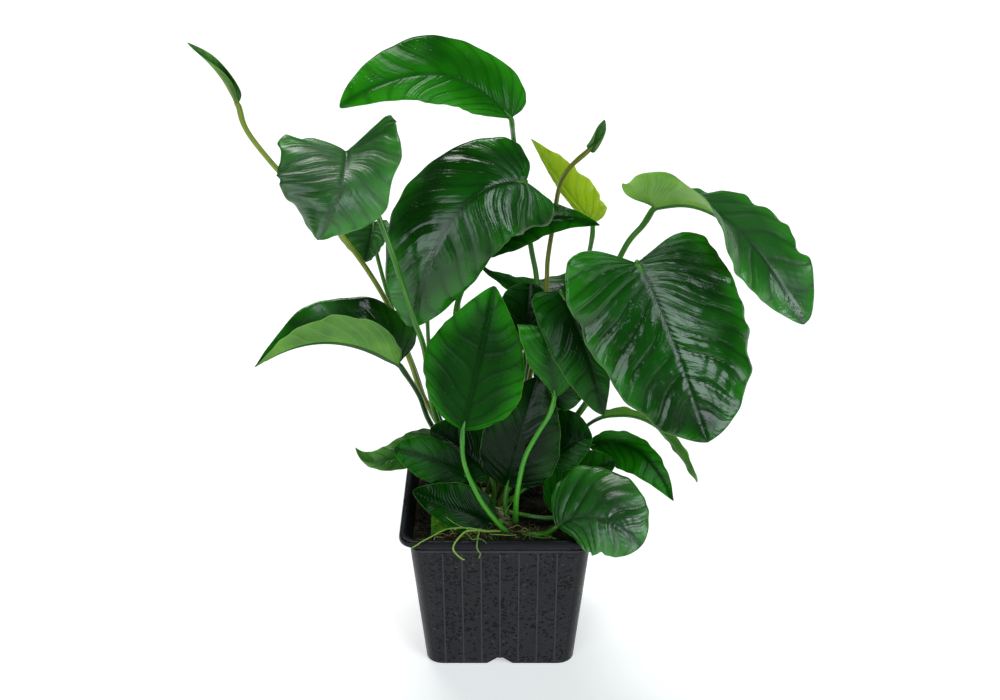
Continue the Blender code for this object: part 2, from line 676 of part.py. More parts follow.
object_group = collection(NAME)
cutter_group = collection("cutters")
build_pot(object_group, cutter_group)
build_fill(object_group, cutter_group)
build_rhizome(object_group, cutter_group)
upper_leaves(object_group)
right_leaves(object_group)
middle_leaves(object_group)
low_left_leaves(object_group)
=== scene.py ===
"""Looks of the potted anubias: detailed leaves, stalks, roots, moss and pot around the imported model.

Sizes are in millimetres and scaled to metres when each mesh is built. Sizes in materials are in
metres. -Y is the front.
"""
import math
import random

import bpy
import numpy as np
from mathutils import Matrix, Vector
from mathutils.noise import fractal


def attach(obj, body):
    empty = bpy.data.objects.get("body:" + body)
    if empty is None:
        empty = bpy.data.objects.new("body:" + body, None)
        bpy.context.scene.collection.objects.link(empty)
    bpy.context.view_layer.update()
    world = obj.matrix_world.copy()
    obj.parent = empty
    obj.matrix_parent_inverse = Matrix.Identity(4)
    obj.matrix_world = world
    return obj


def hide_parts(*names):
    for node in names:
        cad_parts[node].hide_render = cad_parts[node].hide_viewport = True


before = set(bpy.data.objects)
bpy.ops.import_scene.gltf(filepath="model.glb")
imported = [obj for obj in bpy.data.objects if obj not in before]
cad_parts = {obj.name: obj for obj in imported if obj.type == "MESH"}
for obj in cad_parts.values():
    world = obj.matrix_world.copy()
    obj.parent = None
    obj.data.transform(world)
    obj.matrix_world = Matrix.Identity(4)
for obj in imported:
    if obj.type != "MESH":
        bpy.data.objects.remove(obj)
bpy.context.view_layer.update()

MM = 0.001
BODY = "root"

# pot, as in the CAD part
POT_HEIGHT = 92.0
RIM_WIDTH = 110.0
TOP_WIDTH = 100.0
FOOT_WIDTH = 85.0
TOP_CORNER = 9.5
WALL = 1.1
FLOOR = 1.2
LIP_HEIGHT = 4.0
BODY_TOP = 86.5
NOTCH_WIDE = 16.0
NOTCH_NARROW = 3.5
NOTCH_HEIGHT = 4.7
NOTCH_DEPTH = 7.5
POCKET_HALF_WIDTH = 9.5
POCKET_TOP = 6.0

# pot, finer than in the CAD part
CORNER_STEPS = 12
RIB_COUNT = 7
RIB_PITCH = 10.4
RIB_HALF_WIDTH = 0.32
RIB_HEIGHT = 0.3
SHARP_ANGLE = 38.0
# heights up the wall, with the share of the ribs' full height there
RIB_RUN = ((1.2, 0), (2.2, 1), (22, 1), (42, 1), (62, 1), (80.6, 1), (81.3, 0.6), (81.7, 0))
# heights round the ledge above the ribs, with how far it stands out
LEDGE = ((82.1, 0.1), (82.4, 0.6), (83.1, 0.7), (83.5, 0.6), (83.7, 0.1), (86.5, 0.0), (87.4, 0.5))
# rolled lip: distance in from the rim, corner radius and height above the lip's foot
LIP = ((4.6, 9.5, 0), (1.3, 9.6, 0), (0.5, 9.8, 0.15), (0.1, 10.0, 0.5), (0, 10.0, 1.0), (0, 10.0, 2.0),
       (0.1, 10.0, 2.8), (0.4, 9.8, 3.5), (0.9, 9.6, 3.85), (1.6, 9.3, 4.0), (2.6, 8.9, 3.95),
       (3.5, 8.5, 3.6), (4.1, 8.3, 3.0), (4.5, 8.2, 2.2))

# growing medium, moss and creeping stem
FILL_TOP = 83.0
STEM_RADIUS = 4.0
STEM_HEIGHT = 85.0
STEM_FRONT = (7.0, -37.0)
STEM_BACK = (-18.0, 32.0)
STEM_STEPS = 120
STEM_SIDES = 28
MAT_STEPS = 110
MAT_SQUARENESS = 12.0
SCRAP_STEPS = 22
SCRAP_WIDTH = 10.5
SCRAP_THICKNESS = 0.5
FIBRE_STEP = 1.6

# leaves
BLADE_THICKNESS = 0.5
BLADE_EDGE = 0.16
EDGE_TAPER = 1.6
# waves of the margin: how often along the leaf, and height as a share of the half width
MARGIN_WAVES = ((15, 0.014), (37, 0.010), (83, 0.004))
CROSS_FOLD = 0.06
GROOVE_DEPTH = 0.28
GROOVE_WIDTH = 1.3
UNDER_RIB = 0.8
RIB_POINTS = 26
STALK_SIDES = 12
STALK_GROOVE = 0.12

# camera, floor and surroundings
CAMERA_PLACE = (0.0, -0.6366, 0.4909)
CAMERA_PITCH = 26.0
CAMERA_LENS = 46.8
FLOOR_REACH = 30000.0
FLOOR_GLOW = 0.45
SKY_COLOUR = (0.92, 0.96, 1.0, 1.0)
SKY_STRENGTH = 0.09
# lights: name, direction toward them, softness in degrees, strength and colour
LIGHTS = (("right_light", (0.56, -0.58, 0.59), 32.0, 1.6, (0.86, 0.96, 1.0)),
          ("left_light", (-0.48, -0.82, 0.30), 34.0, 1.1, (0.86, 0.96, 1.0)),
          ("top_light", (-0.12, 0.45, 0.88), 34.0, 2.3, (1.0, 1.0, 1.0)))


# materials

class Graph:
    """Short ways to add nodes to one material."""

    def __init__(self, name):
        self.mat = bpy.data.materials.new(name)
        self.mat.use_nodes = True
        self.tree = self.mat.node_tree
        self.shader = self.tree.nodes["Principled BSDF"]
        self.place = self.add("ShaderNodeTexCoord").outputs["Object"]

    def add(self, kind, **settings):
        node = self.tree.nodes.new(kind)
        for key, value in settings.items():
            setattr(node, key, value)
        return node

    def feed(self, socket, value):
        if isinstance(value, bpy.types.NodeSocket):
            self.tree.links.new(value, socket)
        elif socket.type == "RGBA":
            socket.default_value = (*value, 1.0)
        else:
            socket.default_value = value

    def math(self, operation, first, second=0.0):
        node = self.add("ShaderNodeMath", operation=operation)
        self.feed(node.inputs[0], first)
        self.feed(node.inputs[1], second)
        return node.outputs[0]

    def times(self, first, second):
        return self.math("MULTIPLY", first, second)

    def wave(self, value, turns):
        """Sine that turns so many times while the value grows by 1."""
        return self.math("SINE", self.times(value, 2 * math.pi * turns))

    def mix(self, share, first, second):
        node = self.add("ShaderNodeMix", data_type="RGBA")
        self.feed(node.inputs[0], share)
        self.feed(node.inputs[6], first)
        self.feed(node.inputs[7], second)
        return node.outputs[2]

    def fade(self, value, low, high, start=0.0, end=1.0):
        """Smooth step from start at low to end at high."""
        node = self.add("ShaderNodeMapRange", interpolation_type="SMOOTHSTEP")
        for socket, number in zip(node.inputs, (value, low, high, start, end)):
            self.feed(socket, number)
        return node.outputs[0]

    def tint(self, colour, other, value, low, high, strength):
        """The colour with some of the other one where the value comes near high."""
        return self.mix(self.times(self.fade(value, low, high), strength), colour, other)

    def noise(self, scale, detail=2.0, roughness=0.5, place=None):
        node = self.add("ShaderNodeTexNoise")
        self.feed(node.inputs["Vector"], place or self.place)
        node.inputs["Scale"].default_value = scale
        node.inputs["Detail"].default_value = detail
        node.inputs["Roughness"].default_value = roughness
        return node.outputs["Fac"]

    def patchy(self, scale, low=0.0, high=1.0, detail=2.0):
        """Soft patches between two values."""
        return self.fade(self.noise(scale, detail), 0.3, 0.7, low, high)

    def beads(self, scale, outer, inner, patch_scale, patch_low, patch_high):
        """Round spots in loose patches, 0 outside them."""
        node = self.add("ShaderNodeTexVoronoi")
        self.feed(node.inputs["Vector"], self.place)
        node.inputs["Scale"].default_value = scale
        spots = self.fade(node.outputs["Distance"], outer, inner)
        return self.times(spots, self.fade(self.noise(patch_scale), patch_low, patch_high))

    def stretch(self, sizes):
        node = self.add("ShaderNodeMapping")
        self.feed(node.inputs["Vector"], self.place)
        node.inputs["Scale"].default_value = sizes
        return node.outputs[0]

    def attribute(self, name):
        return self.add("ShaderNodeAttribute", attribute_name=name).outputs["Fac"]

    def combine(self, *parts):
        node = self.add("ShaderNodeCombineXYZ")
        for socket, part in zip(node.inputs, parts):
            self.feed(socket, part)
        return node.outputs[0]

    def relief(self, *layers):
        """Bumps laid over one another, each with its height and its depth in metres."""
        normal = None
        for height, depth in layers:
            node = self.add("ShaderNodeBump")
            self.feed(node.inputs["Height"], height)
            node.inputs["Distance"].default_value = depth
            if normal:
                self.feed(node.inputs["Normal"], normal)
            normal = node.outputs[0]
        return normal

    def finish(self, colour, roughness, normal=None, **settings):
        self.feed(self.shader.inputs["Base Color"], colour)
        self.feed(self.shader.inputs["Roughness"], roughness)
        if normal:
            self.feed(self.shader.inputs["Normal"], normal)
        for key, value in settings.items():
            self.shader.inputs[key.replace("_", " ").title().replace("Ior", "IOR")].default_value = value
        return self.mat


def droplets(g, scale, amount):
    """Height of small wet beads; a larger amount covers more."""
    return g.beads(scale, 0.34, 0.12, 28.0, 0.62 - amount, 0.72 - amount)


def leaf_top(name, dark, middle, light, rib_colour, margin_colour, gloss=0.32, coat=0.08, streak=0.0005,
             film=(0.15, 0.30)):
    """Wet glossy upper side: painted shade darkens the sunken side veins and the midrib's groove, so the
    fields between them look lighter; brighter toward the margin.

    gloss and coat: strength of the shine; streak: depth of the fine ridges between the veins, in
    metres; film: lowest and highest roughness.
    """
    g = Graph(name)
    edge, rib, vein, tone = [g.attribute(key) for key in ("edge", "rib", "vein", "tone")]
    between = g.math("ABSOLUTE", g.wave(vein, 0.5))
    cloud = g.math("ADD", g.noise(22.0, 3.0), g.times(g.math("SUBTRACT", tone, 0.5), 0.8))
    colour = g.mix(g.fade(cloud, 0.32, 0.68), dark, middle)
    toward_edge = g.times(g.fade(edge, 14.0, 0.0), g.fade(cloud, 0.30, 0.62))
    colour = g.mix(g.times(toward_edge, 0.75), colour, light)
    # painted shade: darker down the sunken side veins, lightest on the tops of the fields
    colour = g.tint(colour, dark, between, 0.75, 0.0, 0.45)
    colour = g.tint(colour, rib_colour, between, 0.09, 0.0, 0.15)
    # painted shade: darker along the midrib's groove
    colour = g.tint(colour, dark, rib, 3.0, 0.8, 0.6)
    colour = g.tint(colour, rib_colour, rib, 0.5, 0.15, 0.45)
    colour = g.tint(colour, light, g.noise(700.0), 0.70, 0.76, 0.35)
    colour = g.tint(colour, margin_colour, edge, 0.4, 0.1, 0.7)
    wet = droplets(g, 380.0, 0.03)
    ridges = g.noise(1.0, 3.0, 0.6, g.combine(g.times(vein, 2.6), g.times(rib, 0.045), g.times(tone, 20.0)))
    normal = g.relief((ridges, streak), (g.noise(150.0, 3.0, 0.55), 0.00012), (g.noise(900.0), 0.00005),
                      (g.wave(vein, 4), 0.000025), (wet, 0.00022))
    patches = g.fade(g.noise(46.0, 3.0), 0.38, 0.62, *film)
    roughness = g.math("SUBTRACT", patches, g.times(wet, 0.08))
    return g.finish(colour, roughness, normal, coat_weight=coat, coat_roughness=0.10,
                    specular_ior_level=gloss)


def leaf_under(name, dark, light, vein_colour):
    """Duller and paler lower side with raised veins."""
    g = Graph(name)
    vein = g.attribute("vein")
    between = g.math("ABSOLUTE", g.wave(vein, 0.5))
    colour = g.mix(g.patchy(40.0, detail=3.0), dark, light)
    colour = g.tint(colour, vein_colour, between, 0.25, 0.0, 0.25)
    colour = g.tint(colour, vein_colour, g.attribute("edge"), 0.6, 0.1, 0.6)
    normal = g.relief((g.noise(1100.0), 0.00005), (g.wave(vein, 6), 0.00005))
    return g.finish(colour, g.patchy(70.0, 0.4, 0.58), normal, ior=1.42)


def stalk_skin(name, dark, light, foot):
    """Smooth stalk with faint long streaks, of another colour at its foot."""
    g = Graph(name)
    place = g.combine(*[g.attribute(key) for key in ("turn_x", "turn_y", "run")])
    streaks = g.noise(1.0, 3.0, place=place)
    colour = g.mix(g.fade(streaks, 0.3, 0.7), dark, light)
    colour = g.tint(colour, dark, g.noise(70.0), 0.55, 0.75, 0.5)
    colour = g.mix(g.fade(g.attribute("along"), 0.16, 0.0), colour, foot)
    normal = g.relief((streaks, 0.00008), (droplets(g, 450.0, 0.0), 0.0002))
    return g.finish(colour, g.patchy(90.0, 0.24, 0.40), normal, coat_weight=0.05, coat_roughness=0.15,
                    specular_ior_level=0.3)


def pot_skin():
    """Charcoal plastic: blue-black lip, greyer walls with faint ribs and many small wet marks. Painted light:
    glints as light specks, the ribs and ledge lighter as a highlight, painted shade on the inside walls and
    in the notches, and the marks' black colour as a dark reflection.
    """
    g = Graph("pot_plastic_wet")
    rib = g.attribute("rib")
    wall = g.attribute("edge")
    body = g.mix(g.patchy(16.0, detail=4.0), (0.013, 0.0122, 0.0145), (0.019, 0.018, 0.021))
    # painted glints: small light specks on the walls
    body = g.tint(body, (0.055, 0.055, 0.062), g.noise(620.0, 1.0), 0.68, 0.73, 0.6)
    # painted highlight: the ribs and the ledge under the lip are lighter
    body = g.mix(g.times(rib, 0.5), body, (0.060, 0.058, 0.066))
    # near-black lip, inside walls and notch faces; on the inside walls and in the notches this is painted
    # shade
    colour = g.mix(wall, (0.003, 0.0035, 0.0055), body)
    # round dots, then small, slanting and running marks
    marks = g.beads(400.0, 0.35, 0.30, 75.0, 0.42, 0.48)
    for scale, detail, sizes, low, high in ((430.0, 1.0, (0.9, 0.9, 1.1), 0.645, 0.67),
                                            (220.0, 2.0, (0.6, 0.6, 1.5), 0.66, 0.69),
                                            (200.0, 2.0, (1.3, 1.3, 0.5), 0.68, 0.71)):
        shape = g.noise(scale, detail, place=g.stretch(sizes))
        marks = g.math("MAXIMUM", marks, g.fade(shape, low, high))
    wet = g.times(g.times(marks, wall), g.fade(rib, 0.6, 0.2))
    # painted reflection: the wet marks' near-black colour stands in for their dark reflection; their gloss
    # and bump are set below
    colour = g.mix(wet, colour, (0.0004, 0.0005, 0.0014))
    raised = g.math("MAXIMUM", wet, g.beads(420.0, 0.30, 0.18, 80.0, 0.5, 0.6))
    normal = g.relief((g.noise(1800.0), 0.0001), (g.noise(240.0, 3.0), 0.00025), (raised, 0.0003))
    dry = g.math("ADD", g.patchy(45.0, 0.26, 0.40, 3.0), g.times(wall, 0.24))
    return g.finish(colour, g.math("SUBTRACT", dry, g.times(wet, 0.42)), normal, specular_ior_level=0.17)


def medium_skin(name, dark, light):
    """Damp crumbly peat or moss."""
    g = Graph(name)
    colour = g.mix(g.fade(g.noise(180.0, 4.0, 0.65), 0.35, 0.7), dark, light)
    normal = g.relief((g.noise(420.0, 4.0, 0.7), 0.0012))
    return g.finish(colour, g.patchy(120.0, 0.65, 0.95), normal, specular_ior_level=0.12)


def strand_skin(name, dark, light):
    """Fibres and roots, each strand with its own shade."""
    g = Graph(name)
    shade = g.math("ADD", g.times(g.attribute("tone"), 0.7), g.times(g.noise(300.0), 0.3))
    colour = g.mix(g.fade(shade, 0.1, 0.9), dark, light)
    return g.finish(colour, g.patchy(150.0, 0.42, 0.7), g.relief((g.noise(1500.0), 0.0001)),
                    specular_ior_level=0.25)


def rhizome_skin():
    """Ringed green-brown bark of the creeping stem."""
    g = Graph("rhizome_bark")
    rings = g.noise(1.0, 3.0, place=g.stretch((90.0, 420.0, 90.0)))
    colour = g.mix(g.fade(rings, 0.35, 0.65), (0.05, 0.07, 0.02), (0.16, 0.22, 0.06))
    colour = g.mix(g.fade(g.noise(150.0, 3.0), 0.55, 0.7), colour, (0.07, 0.045, 0.02))
    return g.finish(colour, g.patchy(80.0, 0.45, 0.65), g.relief((rings, 0.0006)))


# meshes

def plain(name, points, faces):
    """Object from points in millimetres, with no material."""
    mesh = bpy.data.meshes.new(name)
    mesh.from_pydata((np.asarray(points) * MM).tolist(), [], faces)
    return place_mesh(name, mesh)


def place_mesh(name, mesh):
    item = bpy.data.objects.new(name, mesh)
    bpy.context.scene.collection.objects.link(item)
    return item


def dress(item, mats, slots=None, marks=None, cad=()):
    """Materials, smooth shading, the body it rides on and hiding the CAD parts it replaces; marks are
    per-point numbers for the materials.
    """
    mesh = item.data
    for mat in mats:
        mesh.materials.append(mat)
    if slots is not None:
        mesh.polygons.foreach_set("material_index", np.asarray(slots, dtype=np.int32))
    for key, values in (marks or {}).items():
        layer = mesh.attributes.new(key, "FLOAT", "POINT")
        layer.data.foreach_set("value", np.asarray(values, dtype=np.float32).ravel())
    mesh.polygons.foreach_set("use_smooth", [True] * len(mesh.polygons))
    mesh.update()
    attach(item, BODY)
    if cad:
        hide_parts(*cad)


def loft(rings):
    """Points and faces of a closed body through rings of equal point count."""
    count = len(rings[0])
    faces = []
    for row in range(len(rings) - 1):
        for i in range(count):
            j = (i + 1) % count
            faces.append((row * count + i, row * count + j, (row + 1) * count + j, (row + 1) * count + i))
    faces.append(tuple(range(count))[::-1])
    faces.append(tuple(range((len(rings) - 1) * count, len(rings) * count)))
    return [point for ring in rings for point in ring], faces


def sheet_faces(count):
    """Faces of a closed sheet of count by count squares; the upper side's points come first."""
    wide = count + 1
    low = wide * wide
    faces = []
    for i in range(count):
        for k in range(count):
            a = i * wide + k
            faces.append((a, a + wide, a + wide + 1, a + 1))
            faces.append((low + a, low + a + 1, low + a + wide + 1, low + a + wide))
    border = [i * wide for i in range(count)] + [count * wide + k for k in range(count)]
    border += [i * wide + count for i in range(count, 0, -1)] + list(range(count, 0, -1))
    for a, b in zip(border, border[1:] + border[:1]):
        faces.append((b, a, low + a, low + b))
    return faces


def unit(rows):
    return rows / np.maximum(np.linalg.norm(rows, axis=-1, keepdims=True), 1e-9)


def step(value, low, high):
    share = np.clip((value - low) / (high - low), 0.0, 1.0)
    return share * share * (3 - 2 * share)


def smooth(way, steps):
    """Points of a smooth line through the given places, with a few steps between each two."""
    places = [np.array(place, float) for place in way]
    row = [2 * places[0] - places[1]] + places + [2 * places[-1] - places[-2]]
    points = []
    for i in range(1, len(row) - 2):
        p0, p1, p2, p3 = row[i - 1:i + 3]
        for number in range(steps):
            t = number / steps
            points.append(0.5 * (2 * p1 + (p2 - p0) * t + (2 * p0 - 5 * p1 + 4 * p2 - p3) * t * t
                                 + (3 * p1 - p0 - 3 * p2 + p3) * t ** 3))
    points.append(places[-1])
    return np.array(points)


class Strands:
    """Gathers tapered rods into one mesh."""

    def __init__(self):
        self.points = []
        self.faces = []
        self.marks = {key: [] for key in ("along", "tone", "turn_x", "turn_y", "run")}

    def add(self, line, radii, sides=6, tone=0.5, groove=0.0):
        """Rod along a line of points; a groove dents its upper side by that share of the radius."""
        line = np.asarray(line, float)
        radii = np.broadcast_to(np.asarray(radii, float), (len(line),))
        tangent = unit(np.gradient(line, axis=0))
        side = unit(np.cross(tangent[0], (0.3, 0.1, 1.0)))
        rings = []
        for place, ahead, radius in zip(line, tangent, radii):
            side = unit(side - ahead * np.dot(side, ahead))
            up = np.cross(side, ahead)
            for k in range(sides):
                angle = 2 * math.pi * k / sides
                dent = 1.0 - groove * math.exp(-((angle - math.pi / 2) / 0.5) ** 2)
                rings.append(place + radius * dent * (side * math.cos(angle) + up * math.sin(angle)))
        first = len(self.points)
        rows = len(line)
        for i in range(rows - 1):
            for k in range(sides):
                a = first + i * sides + k
                b = first + i * sides + (k + 1) % sides
                self.faces.append((a, b, b + sides, a + sides))
        foot = first + rows * sides
        last = foot - sides
        for k in range(sides):
            self.faces.append((first + (k + 1) % sides, first + k, foot))
            self.faces.append((last + k, last + (k + 1) % sides, foot + 1))
        self.points += rings
        self.points += [line[0] - tangent[0] * radii[0] * 0.3, line[-1] + tangent[-1] * radii[-1] * 0.6]
        angles = np.tile(2 * math.pi * np.arange(sides) / sides, rows)
        length = np.concatenate([[0.0], np.cumsum(np.linalg.norm(np.diff(line, axis=0), axis=1))])
        self.marks["along"] += list(np.repeat(np.linspace(0.0, 1.0, rows), sides)) + [0.0, 1.0]
        self.marks["tone"] += [tone] * (rows * sides + 2)
        self.marks["turn_x"] += list(2.5 * np.cos(angles)) + [0.0, 0.0]
        self.marks["turn_y"] += list(2.5 * np.sin(angles)) + [0.0, 0.0]
        self.marks["run"] += list(np.repeat(0.05 * length, sides)) + [0.0, 0.05 * length[-1]]

    def build(self, name, mat, finish, cad=()):
        dress(plain(name, self.points, self.faces), [mat], marks=self.marks, cad=cad)


# leaves

def both(value):
    """A pair for the left and the right half of a blade."""
    return value if isinstance(value, (tuple, list)) else (value, value)


class Blade:
    """Leaf blade as in the CAD part: a midrib arc with a half blade on each side.

    half: greatest width of each half; face: direction of the top side at the joint and at the tip;
    fold: angle of each half above the blade's plane, at the joint and at the tip; curl: further bend
    of each half at its greatest width; heart: depth of the lobes behind the joint; wide: below 1 the
    greatest width moves toward the joint; lobe and blunt: fullness at the joint and at the tip;
    point: length of the drawn-out tip; ripple: height, count and phase of the waves of the margin.
    """

    def __init__(self, joint, middle, tip, face, half, face_tip=None, fold=(0, 0), fold_tip=None,
                 curl=(0, 0), heart=1.5, wide=0.8, lobe=0.9, blunt=0.7, point=0.08, ripple=(0.03, 2.5, 0.5)):
        self.joint = np.array(joint, float)
        self.tip = np.array(tip, float)
        self.bend = 2 * np.array(middle, float) - (self.joint + self.tip) / 2
        self.face = unit(np.array(face, float))
        self.face_tip = unit(np.array(face_tip or face, float))
        self.half = both(half)
        self.fold = fold
        self.fold_tip = fold_tip or fold
        self.curl = curl
        self.heart = both(heart)
        self.wide = both(wide)
        self.lobe = both(lobe)
        self.blunt = both(blunt)
        self.point = point
        self.ripple = ripple
        steps = np.linspace(0, 1, 61)
        places = self.on_arc(steps)
        self.arc = np.concatenate([[0.0], np.cumsum(np.linalg.norm(np.diff(places, axis=0), axis=1))])
        self.steps = steps
        self.length = self.arc[-1]

    def on_arc(self, t):
        t = np.asarray(t)[..., None]
        return (1 - t) ** 2 * self.joint + 2 * t * (1 - t) * self.bend + t * t * self.tip

    def frame(self, y):
        """Places, sideways and upward directions and shares of the length at distances y."""
        share = np.clip(y / self.length, 0.0, 1.0)
        t = np.interp(share * self.length, self.arc, self.steps)
        wide = t[..., None]
        along = unit((1 - wide) * (self.bend - self.joint) + wide * (self.tip - self.bend))
        place = self.on_arc(t) + along * np.minimum(y, 0.0)[..., None]
        face = unit(self.face * (1 - share[..., None]) + self.face_tip * share[..., None])
        side = unit(np.cross(along, face))
        return place, side, np.cross(side, along), share

    def margin(self, u, s):
        """Distance of the margin from the midrib and along it, for half s."""
        full = self.lobe[s] + (self.blunt[s] - self.lobe[s]) * np.minimum(1.0, 2 * u)
        x = self.half[s] * np.maximum(np.sin(math.pi * u ** self.wide[s]), 0.0) ** full
        y = u - self.heart[s] * u * (1 - u) ** 3 + self.point * u ** 10
        return x, self.length * y / (1 + self.point)

    def surface(self, u, across, s, trim=1.0):
        """Points of half s with the distance from the midrib; across runs from 0 to 1."""
        edge_x, edge_y = self.margin(u, s)
        edge_x = edge_x * trim
        vein_y = self.length * u ** 1.7
        x = edge_x * across
        place, side, up, share = self.frame(vein_y + (edge_y - vein_y) * across ** 1.4)
        start = np.radians(self.fold[s] * (1 - share) + self.fold_tip[s] * share)
        bend = math.radians(self.curl[s]) / self.half[s]
        if abs(bend) > 1e-6:
            out = (np.sin(start + bend * x) - np.sin(start)) / bend
            rise = (np.cos(start) - np.cos(start + bend * x)) / bend
        else:
            out = x * np.cos(start)
            rise = x * np.sin(start)
        height, waves, phase = self.ripple
        swing = np.sin(2 * math.pi * waves * u + phase + (2.1 if s else 0.0))
        ends = np.minimum(1.0, np.minimum(4 * u, 4 * (1 - u)))
        rise = rise + height * self.half[s] * swing * across ** 3 * ends
        sign = 1.0 if s else -1.0
        return place + side * (sign * out)[..., None] + up * rise[..., None], x, edge_x - x


def blade_grid(blade, rows, columns, seed, veins, slant, quilt, warp, rough, dents):
    """Middle surface of a blade with quilted fields between its veins, and what its materials read.

    The settings are those of build_blade. Rows lie closer together at both ends of the blade, and
    columns at its midrib.
    """
    draw = random.Random(seed)
    steps = np.arange(1, rows) / rows
    u = 0.45 * steps + 0.55 * (0.5 - 0.5 * np.cos(math.pi * steps))
    fans = (np.arange(columns + 1) / columns) ** 1.35
    phases = [draw.uniform(0, 6.28) for _ in range(14)]
    big_u = np.repeat(u[:, None], columns + 1, axis=1)
    across = np.repeat(fans[None, :], rows - 1, axis=0)
    halves = []
    for s in (0, 1):
        trim = 1 + rough * sum(height * np.sin(turns * big_u + phases[2 * n + s])
                               for n, (turns, height) in enumerate(MARGIN_WAVES))
        for half, middle, depth, reach in dents:
            if half == s:
                trim = trim - depth * np.exp(-((big_u - middle) / reach) ** 2)
        halves.append((*blade.surface(big_u, across, s, trim), big_u, across))
    joined = [np.concatenate([a[:, :0:-1], b], axis=1) for a, b in zip(*halves)]
    points, x, inside, big_u, across = joined
    sign = np.where(np.arange(2 * columns + 1) < columns, -1.0, 1.0)[None, :] * np.ones_like(big_u)
    normal = unit(np.cross(np.gradient(points, axis=1), np.gradient(points, axis=0)))
    size = max(blade.half)
    quilt = quilt * size / 22
    # the side veins wander a little, and leave the midrib at other places on the two halves
    drift = 0.16 * np.sin(7 * big_u + phases[6] + sign) + 0.08 * np.sin(19 * big_u + phases[7] - sign)
    drift = drift + 0.12 * np.sin(5 * across + 11 * big_u + phases[8])
    vein = veins * (big_u - slant * across * (1 - big_u)) + drift + np.where(sign > 0, 0.4, 0.0)
    # rounded fields of uneven height, flat at the midrib and the tip and lower at the margin
    field = np.abs(np.sin(math.pi * vein)) ** 0.75 - 0.6
    swell = 0.8 + 0.45 * np.sin(2.4 * np.floor(vein) + phases[9] + sign)
    share = step(across, 0.02, 0.22) * (0.35 + 0.65 * step(across, 1.0, 0.7)) * step(big_u, 1.0, 0.78)
    lift = quilt * field * swell * share
    cross_folds = np.sin(34 * across + 3.0 * np.sin(2.1 * vein) + phases[10]) * np.abs(np.sin(math.pi * vein))
    lift = lift + CROSS_FOLD * quilt * cross_folds * share
    # large waves, the groove of the midrib and the fine flutter of the margin
    wave = np.sin(5.2 * big_u + 2.2 * across * sign + phases[11])
    wave = wave + 0.7 * np.sin(9 * big_u - 4 * across + phases[12])
    lift = lift + warp * size / 30 * wave * across ** 0.8 * step(big_u, 0.0, 0.15)
    lift = lift - min(GROOVE_DEPTH, 2 * quilt) * np.exp(-(x / GROOVE_WIDTH) ** 2)
    flutter = 0.42 * np.sin(38 * big_u + phases[13] + sign) + 0.2 * np.sin(67 * big_u - phases[3])
    lift = lift + rough * flutter * across ** 5 * step(big_u, 0.02, 0.2)
    return points + normal * lift[..., None], normal, x, inside, big_u, vein


def build_blade(name, mats, blade, finish, seed, veins=8, slant=0.36, quilt=0.5, warp=0.35, tone=0.5,
                rough=1.0, dents=()):
    """Thin closed leaf with its own upper and lower side.

    veins: fields on each half; slant: how far the side veins lean toward the tip; quilt: height of the
    fields; warp: height of the large waves; tone: brightness; rough: unevenness of the margin;
    dents: places where the margin draws in (or out, when negative): half, share of the length, depth
    as a share of the half width, and reach along the length.
    """
    rows = int(56 + blade.length * 0.75)
    columns = max(10, int(8 + max(blade.half) * 0.55))
    grid, normal, x, inside, big_u, vein = blade_grid(blade, rows, columns, seed, veins, slant, quilt,
                                                      warp, rough, dents)
    taper = step(inside, 0.0, EDGE_TAPER)
    thick = (BLADE_EDGE + (BLADE_THICKNESS - BLADE_EDGE) * taper) / 2
    rib = UNDER_RIB * (1 - 0.8 * big_u) * np.exp(-(x / (1.1 * (1.1 - 0.7 * big_u))) ** 2)
    top = grid + normal * thick[..., None]
    low = grid - normal * (thick + rib * taper)[..., None]
    across_count = 2 * columns + 1
    lines = rows - 1
    half_count = lines * across_count
    up_joint = normal[0, columns] * thick[0, columns]
    up_tip = normal[-1, columns] * thick[-1, columns] * 0.5
    ends = [blade.joint + up_joint, blade.joint - up_joint, blade.tip + up_tip, blade.tip - up_tip]
    points = np.concatenate([top.reshape(-1, 3), low.reshape(-1, 3), np.array(ends)])
    base_top, base_low, tip_top, tip_low = range(2 * half_count, 2 * half_count + 4)
    faces = []
    slots = []

    def face(corners, slot):
        faces.append(corners)
        slots.append(slot)

    for i in range(lines - 1):
        for k in range(across_count - 1):
            a = i * across_count + k
            b = a + across_count
            face((a, a + 1, b + 1, b), 0)
            face((half_count + a, half_count + b, half_count + b + 1, half_count + a + 1), 1)
        for k in (0, across_count - 1):
            a = i * across_count + k
            b = a + across_count
            strip = (a, b, half_count + b, half_count + a)
            face(strip if k == 0 else strip[::-1], 0)
    last = (lines - 1) * across_count
    for k in range(across_count - 1):
        face((k + 1, k, base_top), 0)
        face((half_count + k, half_count + k + 1, base_low), 1)
        face((last + k, last + k + 1, tip_top), 0)
        face((half_count + last + k + 1, half_count + last + k, tip_low), 1)
    right = across_count - 1
    face((base_top, 0, half_count, base_low), 0)
    face((right, base_top, base_low, half_count + right), 0)
    face((last, tip_top, tip_low, half_count + last), 0)
    face((tip_top, last + right, half_count + last + right, tip_low), 0)
    marks = {}
    for key, values, at_ends in (("edge", inside, (0, 0, 0, 0)), ("rib", x, (0, 0, 0, 0)),
                                 ("vein", vein, (0, 0, 0, 0)), ("along", big_u, (0, 0, 1, 1))):
        marks[key] = np.concatenate([values.ravel(), values.ravel(), at_ends])
    marks["tone"] = np.full(len(points), tone)
    dress(plain("blade_" + name, points, faces), mats, slots, marks, ("leaf_" + name,))


